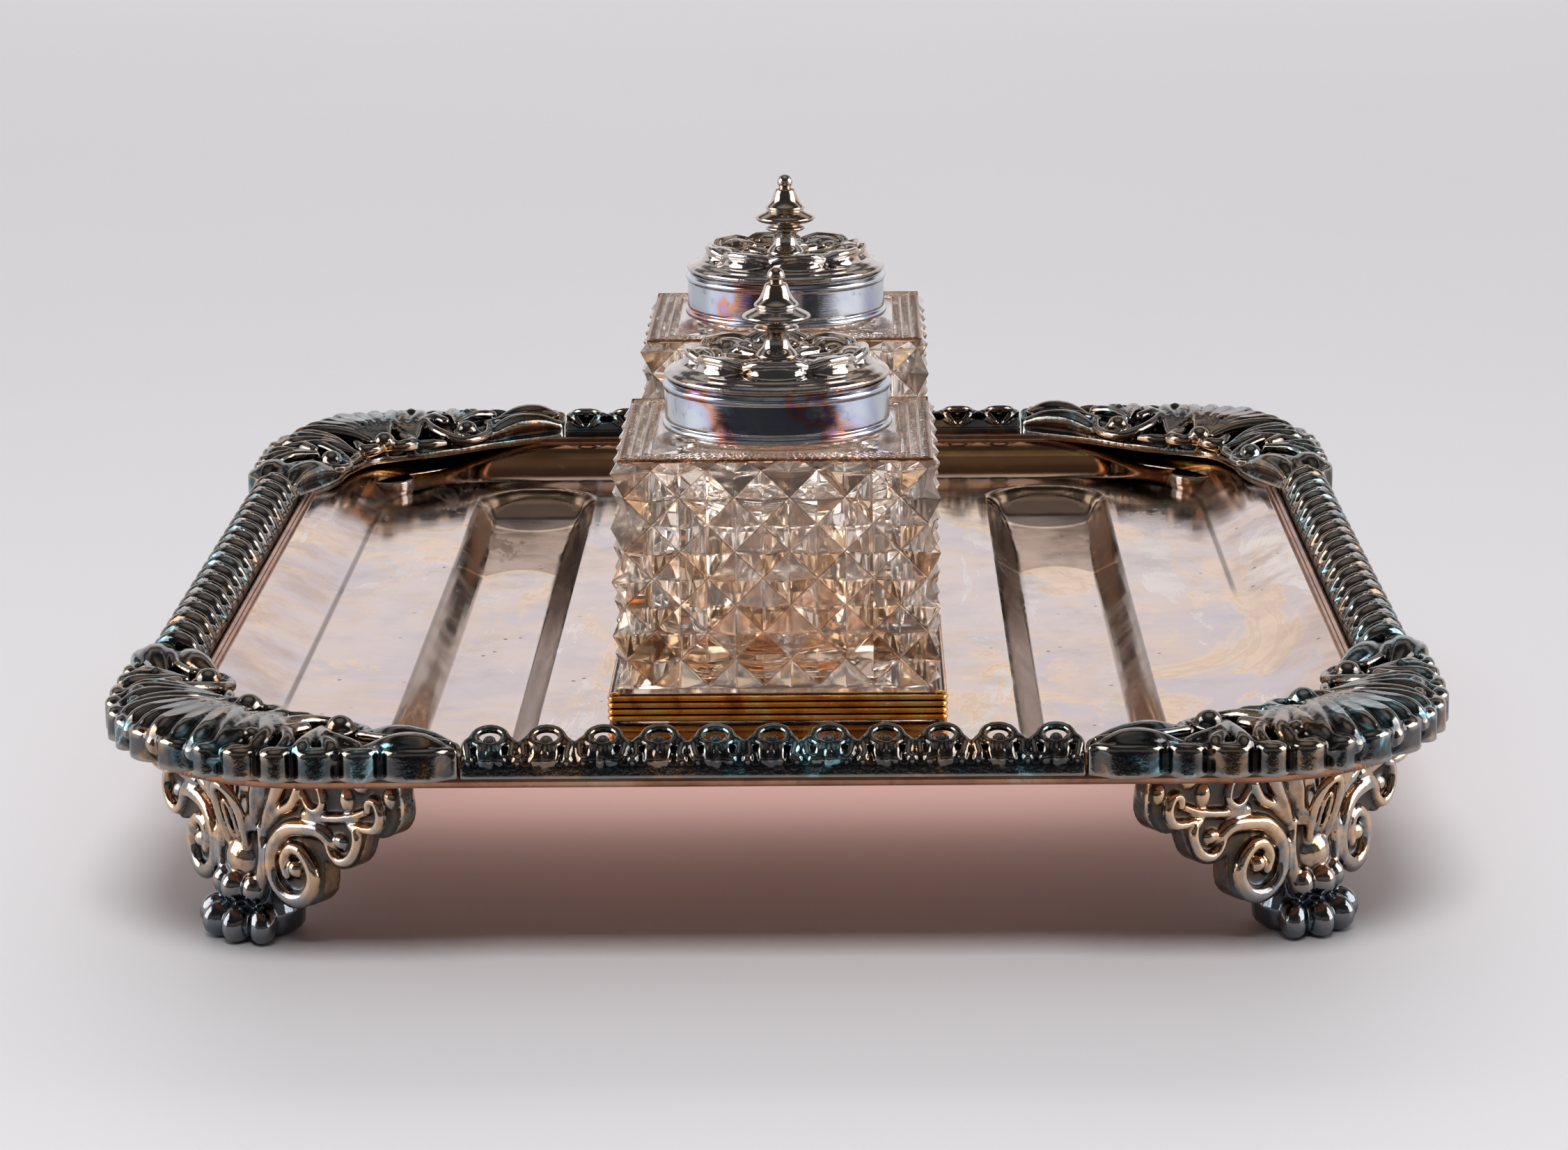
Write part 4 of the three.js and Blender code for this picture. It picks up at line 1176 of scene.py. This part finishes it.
def paw(s):
    diagonal = math.sqrt(0.5)

    def at(out, side, z):
        return (PAW_X + diagonal * (out - side), PAW_Y + diagonal * (out + side), z)

    for i in (-1.5, -0.5, 0.5, 1.5):
        a = i * 0.60
        ball(s, at(6.3 * math.cos(a) - 1.4, 7.2 * math.sin(a), 3.05), (3.4, 2.45, 3.1),
             math.pi / 4 + a, 0.35)
    for i in (-1, 0, 1):
        a = i * 0.70
        ball(s, at(5.1 * math.cos(a) - 1.9, 5.4 * math.sin(a), 8.6), (2.7, 2.25, 2.7),
             math.pi / 4 + a)
    s.add(*turned([(5.0, 0.0), (6.4, 1.2), (6.6, 4.0), (5.6, 7.5), (4.6, 11.0), (4.5, 16.0),
                   (4.9, 24.0), (5.4, 31.6)], 20, *at(-2.6, 0, 0)[:2]))
    ball(s, at(-0.6, 0, 13.0), (4.5, 4.6, 4.4), sides=20, rings=13)
    for side in (-2.4, -0.9, 0.9, 2.4):
        ball(s, at(2.2 - 0.16 * side * side, side, 17.4), (0.85, 0.85, 0.85))
    up = (diagonal, diagonal, 0)

    def line(stations):
        rod(s, [(*at(out, side, z), r) for side, z, out, r in stations], 1.0, up, steps=5)

    arch = [(2.3, 15.8, 2.4, 0.7), (2.7, 18.6, 3.2, 0.8), (2.8, 21.6, 4.0, 0.85),
            (2.1, 24.6, 5.0, 0.9), (0.8, 26.0, 5.6, 0.9)]
    line([(-side, z, out, r) for side, z, out, r in arch] + arch[::-1])
    inner = [(0.7, 16.8, 2.8, 0.4), (1.0, 19.2, 3.5, 0.45), (0.9, 21.8, 4.3, 0.45),
             (0.4, 23.2, 4.7, 0.45)]
    line([(-side, z, out, r) for side, z, out, r in inner] + inner[::-1])
    for side in (-1, 1):
        line([(side * 4.4, 18.4, 0.2, 0.8), (side * 5.2, 21.4, 0.8, 1.0),
              (side * 6.2, 25.4, 1.8, 1.2), (side * 7.0, 28.2, 2.2, 1.1)])
        ball(s, at(1.0, side * 4.3, 20.4), (1.3, 1.3, 1.9), math.pi / 4)


def make_feet():
    s = Shape()
    for along, outward, scale in WINGS:
        wing(s, along, outward, scale)
    paw(s)
    points, faces, relief = cast(s, 0.32, 2, 0.45, 30)
    points[:, 2] = np.clip(points[:, 2], 0, FOOT_TOP)
    flat = points[:, :2] - np.array([PAW_X, PAW_Y])
    for along, outward, _ in WINGS:
        k, d = flat @ np.array(along), flat @ np.array(outward) - WING_FACE
        plate = (k > 6.0) & (d > -0.6) & (d < 1.2)
        relief = np.where(plate, np.minimum(relief, np.clip((d - 0.45) / 0.5, -1, 1)), relief)
    four_corners("claw_foot_", points, faces, "foot_", SILVER_WARM, relief)


make_side_strips()
make_end_strips()
make_corners()
make_feet()

# ---- bottle frames --------------------------------------------------------------------
FRAME_HALF = 28.0


def square_loop(half, z, cy, round_off, per_corner=5):
    """Square with rounded corners, seen from above."""
    loop = []
    for quarter in range(4):
        sx, sy = (1, 1, -1, -1)[quarter], (-1, 1, 1, -1)[quarter]
        start = (-90, 0, 90, 180)[quarter]
        for a in np.radians(np.linspace(start, start + 90, per_corner)):
            loop.append((sx * (half - round_off) + round_off * math.cos(a),
                         cy + sy * (half - round_off) + round_off * math.sin(a), z))
    return loop


def make_frame(which):
    cy, base, _ = node_levels("bottle_frame_" + which)
    outer, tall = FRAME_HALF, REEDS * REED
    inner = outer - 2.0
    loops = [square_loop(inner, base, cy, 0.4), square_loop(outer - 0.55, base, cy, 1.6)]
    for i in range(REEDS):
        for a in np.radians(np.linspace(-84, 84, 9)):
            z = base + REED * (i + 0.5) + 0.5 * REED * math.sin(a)
            loops.append(square_loop(outer - 0.9 + 0.9 * math.cos(a), z, cy, 1.6))
    loops += [square_loop(outer - 0.5, base + tall, cy, 1.5),
              square_loop(outer - 1.2, base + tall + 0.05, cy, 0.9),
              square_loop(inner, base + tall - 0.1, cy, 0.4)]
    s = Shape().add(*loft(loops, joined=True))
    for sx in (-1, 1):
        for sy in (-1, 1):
            for i in range(REEDS):
                ball(s, (sx * (outer - 1.25), cy + sy * (outer - 1.25), base + REED * (i + 0.5)),
                     (1.35, 1.35, 0.62), sides=16, rings=9)
            ball(s, (sx * (outer - 1.3), cy + sy * (outer - 1.3), base + tall - 0.1),
                 (1.0, 1.0, 0.45), sides=16, rings=9)
    piece("reeded_frame_" + which, s.all_points(), s.faces, "stand",
          ["bottle_frame_" + which], [FRAME_COPPER])


# ---- bottles --------------------------------------------------------------------------
COLUMNS, ROWS = 11, 8
CUT = 2.1
NECK, MOUTH, WELL = 16.6, 13.0, 19.0


def square_ring(half, z, cy, per_side):
    """Square with evenly spaced points, seen from above."""
    corners = [(1, -1), (1, 1), (-1, 1), (-1, -1)]
    ring = []
    for side, (ax, ay) in enumerate(corners):
        bx, by = corners[(side + 1) % 4]
        for i in range(per_side):
            t = i / per_side
            ring.append((half * (ax + (bx - ax) * t), cy + half * (ay + (by - ay) * t), z))
    return ring


def hobnail_ring(row, z, cy, half):
    """Every second point stands out; with the next row they make four-sided studs."""
    low = half - CUT
    ring = []
    out = [(1, 0), (0, 1), (-1, 0), (0, -1)]
    for i, (x, y, _) in enumerate(square_ring(low, z, cy, COLUMNS)):
        if (i + row) % 2:
            side = i // COLUMNS
            dx, dy = out[side]
            if i % COLUMNS == 0:
                dx, dy = dx + out[side - 1][0], dy + out[side - 1][1]
            x, y = x + dx * CUT, y + dy * CUT
        ring.append((x, y, z))
    return ring


def join_fine(faces, coarse, fine, count, each):
    """Triangles between a coarse ring and one with each points for every coarse one."""
    total = count * each
    for i in range(count):
        a, b = coarse + i, coarse + (i + 1) % count
        half = each // 2
        for k in range(each):
            p, q = fine + i * each + k, fine + (i * each + k + 1) % total
            faces.append((a if k < half else b, q, p)[::-1])
        faces.append((a, b, fine + i * each + half))


def mark_facets(mesh, stud, cy, bottom, shoulder):
    """Place across each facet, and a tone for it: random, with painted shade and glow, browner
    where it looks down or is low.
    """
    chance = np.random.default_rng(SEED)
    places = mesh.uv_layers.new(name="facet")
    tones = mesh.attributes.new("tone", "FLOAT", "FACE")
    for face in mesh.polygons:
        corners = list(face.vertices)
        peaks = [k for k in corners if k in stud]
        tone = 0.30
        others = [(1.0, 0.0), (0.0, 1.0)]
        for loop, corner in zip(face.loop_indices, corners):
            if len(corners) == 3 and len(peaks) == 1:
                spot = (0.0, 0.0) if corner in stud else others.pop()
            else:
                spot = PLAIN_SPOT
            places.data[loop].uv = spot
        if len(corners) == 3 and len(peaks) == 1:
            # Painted light and shade on top of a random share: browner where a facet looks down, a
            # painted amber glow on up-looking facets in the low band, lighter in the top rows.
            height = (face.center[2] / MM - bottom) / (shoulder - bottom)
            tone = 0.34 + 0.14 * (face.normal[2] < 0) - 0.08 * (height > 0.7) \
                + 0.34 * (face.normal[2] > 0) * (0.18 < height < 0.32) \
                + 0.24 * chance.uniform(-1, 1)
        else:
            x, y, z = face.center[0] / MM, face.center[1] / MM - cy, face.center[2] / MM
            if math.hypot(x, y) < WELL + 0.6 and z < shoulder - 3:
                tone = -1.0
            elif max(abs(x), abs(y)) > 24.6 and shoulder - 2.2 < z < shoulder - 0.1:
                tone = 0.8
        tones.data[face.index].value = tone


def make_bottle(which):
    cy, bottom, top = node_levels("bottle_" + which)
    half, shoulder = FRAME_HALF - 1.0, top - 3.9
    seat = half - 1.4
    first, last = bottom + 5.4, shoulder - 2.2
    rings = [square_ring(seat - 0.6, bottom, cy, COLUMNS),
             square_ring(seat, bottom + 0.6, cy, COLUMNS),
             square_ring(seat, first - 0.3, cy, COLUMNS)]
    for row in range(ROWS + 1):
        rings.append(hobnail_ring(row, first + (last - first) * row / ROWS, cy, half))
    count = 4 * COLUMNS
    stud = {(row + 3) * count + i for row in range(ROWS + 1) for i in range(count)
            if (i + row) % 2}
    points = [p for ring in rings for p in ring]
    faces = []
    for i in range(len(rings) - 1):
        a, b = i * count, (i + 1) * count
        for j in range(count):
            k = (j + 1) % count
            if (i + 1 + j) % 2 == 0:
                faces += [(a + j, b + k, b + j), (a + j, a + k, b + k)]
            else:
                faces += [(a + j, a + k, b + j), (a + k, b + k, b + j)]
    faces.append(tuple(range(count))[::-1])
    each = 14
    edge = half - 1.2
    fine_rings = [square_ring(edge, shoulder - 0.7, cy, COLUMNS * each),
                  square_ring(edge, shoulder - 0.15, cy, COLUMNS * each)]
    inward = edge - 0.25
    for reed in range(3):
        steps = np.linspace(-90, 90, 6)
        for a in np.radians(steps[:-1] if reed < 2 else steps):
            offset = 1.7 * (reed + 0.5 + 0.5 * math.sin(a))
            ring = np.array(square_ring(inward - offset, 0.0, cy, COLUMNS * each))
            along = np.arange(len(ring)) % (COLUMNS * each) / 4.0
            bead = np.abs(np.sin(np.pi * along))
            ring[:, 2] = shoulder - 0.55 + 0.55 * math.cos(a) * (0.55 + 0.45 * bead)
            fine_rings.append([tuple(p) for p in ring])
    start = len(points)
    for ring in fine_rings:
        points += ring
    fine_count = count * each
    join_fine(faces, (len(rings) - 1) * count, start, count, each)
    for i in range(len(fine_rings) - 1):
        faces += between(start + i * fine_count, start + (i + 1) * fine_count, fine_count)
    flat_faces = len(faces)
    last_ring = np.array(fine_rings[-1])
    angle = np.arctan2(last_ring[:, 1] - cy, last_ring[:, 0])
    neck, mouth, well = NECK, MOUTH, WELL
    profile = [(neck + 1.2, shoulder - 0.5), (neck + 0.25, shoulder - 0.2), (neck, shoulder + 0.4),
               (neck, top - 1.1), (neck - 0.35, top - 0.3), (neck - 1.1, top),
               (mouth + 0.8, top), (mouth + 0.2, top - 0.35), (mouth, top - 1.0),
               (mouth, shoulder - 2.6), (mouth + 0.8, shoulder - 4.0), (well - 1.6, shoulder - 6.6),
               (well - 0.3, shoulder - 8.2), (well, shoulder - 10.0), (well, bottom + 12.0),
               (well - 0.8, bottom + 9.4), (well - 3.0, bottom + 7.6), (well - 7.0, bottom + 7.0)]
    previous = start + (len(fine_rings) - 1) * fine_count
    for r, z in profile:
        ring = np.stack([r * np.cos(angle), cy + r * np.sin(angle), np.full(fine_count, z)], 1)
        faces += between(previous, len(points), fine_count)
        previous = len(points)
        points += [tuple(p) for p in ring]
    points.append((0, cy, bottom + 7.0))
    for j in range(fine_count):
        faces.append((previous + j, previous + (j + 1) % fine_count, len(points) - 1))
    points = np.array(points)
    bottle = piece("glass_bottle_" + which, points, outward(points, faces), "bottle_" + which,
                   ["bottle_" + which], [CUT_GLASS])
    smooth = np.arange(len(faces)) >= flat_faces
    bottle.data.polygons.foreach_set("use_smooth", smooth)
    mark_facets(bottle.data, stud, cy, bottom, shoulder)


# ---- covers ---------------------------------------------------------------------------
def make_band(which):
    cy, z, top = node_levels("cover_band_" + which)
    r, bore = 18.93, 17.4
    profile = [(bore, z + 0.2), (bore + 0.2, z), (r, z)]
    profile += [(r + 0.42 * math.cos(a), z + 0.62 + 0.6 * math.sin(a))
                for a in np.radians(np.linspace(-80, 80, 9))]
    profile += [(r - 0.08, z + 1.32), (r - 0.12, z + 1.5), (r, z + 1.7), (r, z + 1.9),
                (r, z + 3.4), (r, top - 1.95), (r, top - 1.8), (r + 0.02, top - 1.7)]
    profile += [(r + 0.05 + 0.27 * math.cos(a), top - 1.05 + 0.5 * math.sin(a))
                for a in np.radians(np.linspace(-70, 70, 7))]
    profile += [(r - 0.05, top - 0.35), (r - 0.3, top), (bore + 0.2, top), (bore, top - 0.2)]
    points, faces = turned(profile, 128, 0, cy, joined=True)
    piece("cover_ring_" + which, points, outward(points, faces), "cover_" + which,
          ["cover_band_" + which], [BAND_SILVER])


def dome_lobe():
    """One rolled shell of the cover, facing along +X: bulging wall, rim and inner scroll."""
    s = Shape()
    ball(s, (12.9, 0, 1.9), (3.3, 5.0, 2.6), 0, 0.25, sides=24, rings=15)
    rod(s, [(10.2, -5.6, 1.8, 0.6), (12.6, -5.2, 3.2, 0.75), (14.3, -3.0, 4.05, 0.8),
            (14.8, 0.0, 4.25, 0.8), (14.3, 3.0, 4.05, 0.8), (12.4, 5.0, 3.3, 0.75),
            (10.0, 4.6, 2.9, 0.65), (8.8, 2.4, 2.9, 0.6), (9.6, 0.4, 3.4, 0.55),
            (11.6, 0.2, 3.9, 0.55), (12.4, 1.8, 4.0, 0.5), (11.4, 2.7, 3.8, 0.42)])
    ball(s, (10.9, -2.4, 3.1), (1.8, 1.6, 0.9))
    rod(s, [(5.0, 0.0, 2.5, 0.7), (7.0, 0.2, 2.4, 1.0), (9.0, 0.0, 2.3, 1.3)])
    rod(s, [(5.0, 2.1, 2.3, 0.5), (8.0, 3.3, 2.2, 0.8), (11.4, 4.7, 2.2, 1.0),
            (14.2, 5.8, 1.2, 0.8)])
    return s


def make_dome(which, turn):
    cy, z, top = node_levels("cover_dome_" + which)
    lobes, tree_faces = repeated(RING_TREE, dome_lobe(), DOME_SILVER, Count=8, Wobble=0.03,
                                 Start=Vector((0, 0, 0)))
    c, n = math.cos(turn), math.sin(turn)
    spun = np.stack([lobes[:, 0] * c - lobes[:, 1] * n, lobes[:, 0] * n + lobes[:, 1] * c,
                     lobes[:, 2]], 1)
    s = Shape().add(spun, tree_faces, closed=False)
    profile = [(1.9, 0.9), (6.0, 0.9), (12.0, 0.7), (16.6, 0.0), (18.7, 0.0), (19.03, 0.25),
               (18.95, 0.7), (18.3, 1.15), (17.5, 1.35), (17.1, 1.55), (16.8, 1.75),
               (15.6, 2.1), (13.5, 2.4), (10.0, 2.2), (6.5, 2.1), (4.4, 2.4), (3.2, 2.6),
               (1.9, 2.6)]
    s.add(*turned(profile, 64, joined=True))
    points, faces, relief = cast(s, 0.24, 3)
    points[:, 2] = np.clip(points[:, 2], 0, top - z)
    points = points + np.array([0, cy, z])
    piece("cover_shells_" + which, points, faces, "cover_" + which,
          ["cover_dome_" + which], [DOME_SILVER], relief)


def make_finial(which):
    cy, z, top = node_levels("finial_" + which)
    base = z + 4.3
    curve = [(3.55, base), (3.6, base + 0.35), (3.2, base + 0.9), (2.5, base + 1.7),
             (2.15, base + 2.7), (2.12, base + 3.6), (2.5, base + 4.2), (3.3, base + 4.45),
             (3.75, base + 4.8), (3.6, base + 5.2), (2.9, base + 5.45), (3.2, base + 5.75),
             (4.9, top - 9.0), (5.6, top - 8.55), (5.75, top - 8.2), (5.4, top - 7.8),
             (4.4, top - 7.3), (3.75, top - 7.0), (3.55, top - 6.7), (3.75, top - 6.4),
             (3.65, top - 6.05), (3.2, top - 5.6), (2.7, top - 4.9), (2.3, top - 4.0),
             (2.02, top - 3.2), (1.75, top - 2.75), (1.2, top - 2.55), (1.15, top - 2.35),
             (1.45, top - 1.8), (1.48, top - 1.25), (1.25, top - 0.65), (0.8, top - 0.2),
             (0.25, top)]
    profile = smooth_line(curve, 190)
    profile[:, 0] = np.maximum(profile[:, 0], 0.1)
    rows = [(1.6, z), (1.6, base - 0.02)] + [tuple(p) for p in profile]
    points, faces = turned(rows, 56, 0, cy)
    points[:, 2] = np.minimum(points[:, 2], top)
    piece("turned_finial_" + which, points, outward(points, faces), "cover_" + which,
          ["finial_" + which], [DOME_SILVER])


for which, turn in (("front", math.radians(-90)), ("rear", math.radians(-80))):
    make_frame(which)
    make_bottle(which)
    make_band(which)
    make_dome(which, turn)
    make_finial(which)
    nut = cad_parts["finial_nut_" + which]
    nut.data.materials.clear()
    nut.data.materials.append(DOME_SILVER)

# ---- surroundings ---------------------------------------------------------------------
def make_floor():
    """Pale paper. Its front sheet shows neither in the silver nor through the glass."""
    material, g = new_material("paper")
    soft = g.noise(0.004, 2.0)
    colour = g.blend(soft, rgb(0.67, 0.66, 0.69), rgb(0.70, 0.69, 0.71))
    g.surface(colour, 0.55, {"Specular IOR Level": 0.3})
    far, aside, ahead = 6000, 600, -235
    sheets = {"floor_left": (-far, -far, -aside, far), "floor_right": (aside, -far, far, far),
              "floor_middle": (-aside, ahead, aside, far),
              "floor_front": (-aside, -far, aside, ahead)}
    for name, (x0, y0, x1, y1) in sheets.items():
        corners = [(x0, y0, 0), (x1, y0, 0), (x1, y1, 0), (x0, y1, 0)]
        sheet = placed(name, plain_mesh(name, corners, [(0, 1, 2, 3)], smooth=False))
        sheet.data.materials.append(material)
        if name == "floor_front":
            sheet.visible_glossy = sheet.visible_transmission = False


def make_light(name, centre, target, wide, high, power, colour=(1, 1, 1), shines=False):
    """An area light that either lights things up or only shows as a shine on them."""
    data = bpy.data.lights.new(name, "AREA")
    data.shape, data.size, data.size_y = "RECTANGLE", wide, high
    data.energy, data.color = power, colour
    obj = placed(name, data)
    obj.location = centre
    obj.rotation_euler = (Vector(target) - Vector(centre)).to_track_quat("-Z", "Y").to_euler()
    obj.visible_glossy, obj.visible_diffuse = shines, not shines


def make_world():
    """Pale low surroundings, a paler strip above, dark overhead and behind the camera."""
    world = bpy.data.worlds.new("studio")
    bpy.context.scene.world = world
    world.use_nodes = True
    g = Graph(world.node_tree)
    direction = g.node("TexCoord", out=0)
    rise, ahead = g.part(direction, 2), g.part(direction, 1)
    rear = g.ramp(rise, [(0.0, (0.92, 0.89, 0.90)), (0.33, (0.90, 0.87, 0.88)),
                         (0.43, (0.10, 0.09, 0.09)), (0.52, (0.12, 0.11, 0.10)),
                         (0.57, (0.62, 0.58, 0.55)), (0.66, (0.60, 0.56, 0.54)),
                         (0.74, (0.05, 0.045, 0.045)), (0.87, (0.07, 0.065, 0.06)),
                         (0.93, (0.28, 0.27, 0.26)), (1.0, (0.36, 0.35, 0.34))])
    front = g.ramp(rise, [(0.0, (0.035, 0.034, 0.036)), (0.10, (0.18, 0.175, 0.175)),
                          (0.32, (0.22, 0.21, 0.21)), (0.40, (0.05, 0.048, 0.05)),
                          (0.87, (0.05, 0.05, 0.05)), (0.95, (0.28, 0.27, 0.27)),
                          (1.0, (0.36, 0.35, 0.34))])
    around = g.blend(ahead.over(-0.15, 0.35), front, rear)
    seen = g.node("LightPath")
    colour = g.blend(seen, around, rgb(0.70, 0.69, 0.72))
    glow = g.node("Background", {}, {"Color": colour, "Strength": 1.0})
    g.node("OutputWorld", {}, {"Surface": glow})


CAMERA_LENS, CAMERA_TURNS = 98.2612, (-0.0167025, 0.236896, -0.0107902)
CAMERA_PLACE = (12.6415, -761.494, 218.351)


def make_camera():
    data = bpy.data.cameras.new("camera")
    data.lens, data.sensor_width = CAMERA_LENS, 36.0
    data.clip_start, data.clip_end = 0.05, 30.0
    camera = placed("camera", data)
    pan, pitch, roll = CAMERA_TURNS
    ahead = Vector((math.sin(pan) * math.cos(pitch), math.cos(pan) * math.cos(pitch),
                    -math.sin(pitch)))
    level = Vector((math.cos(pan), -math.sin(pan), 0.0))
    over = level.cross(ahead)
    right = level * math.cos(roll) + over * math.sin(roll)
    upward = over * math.cos(roll) - level * math.sin(roll)
    turn = Matrix((right, upward, -ahead)).transposed().to_4x4()
    camera.matrix_world = Matrix.Translation(Vector(CAMERA_PLACE) * MM) @ turn
    bpy.context.scene.camera = camera


make_floor()
make_world()
make_camera()
make_light("softbox_left", (-0.95, -0.12, 0.42), (0, 0, 0.05), 0.75, 0.75, 8, shines=True)
make_light("softbox_right", (0.95, -0.12, 0.42), (0, 0, 0.05), 0.75, 0.75, 8, shines=True)
make_light("ceiling", (0, 0.8, 2.6), (0, 0.8, 0), 5.0, 5.0, 28)
make_light("overhead", (0, -0.90, 1.3), (0, -0.10, 0), 0.6, 0.4, 16)
make_light("backdrop", (0, 2.8, 1.8), (0, 1.6, 0), 4.0, 1.5, 50)
make_light("under_glow", (0, 0.03, 0.0215), (0, 0.03, 0), 0.17, 0.14, 0.07, (1.0, 0.66, 0.58))
bpy.context.scene.view_settings.view_transform = "Standard"
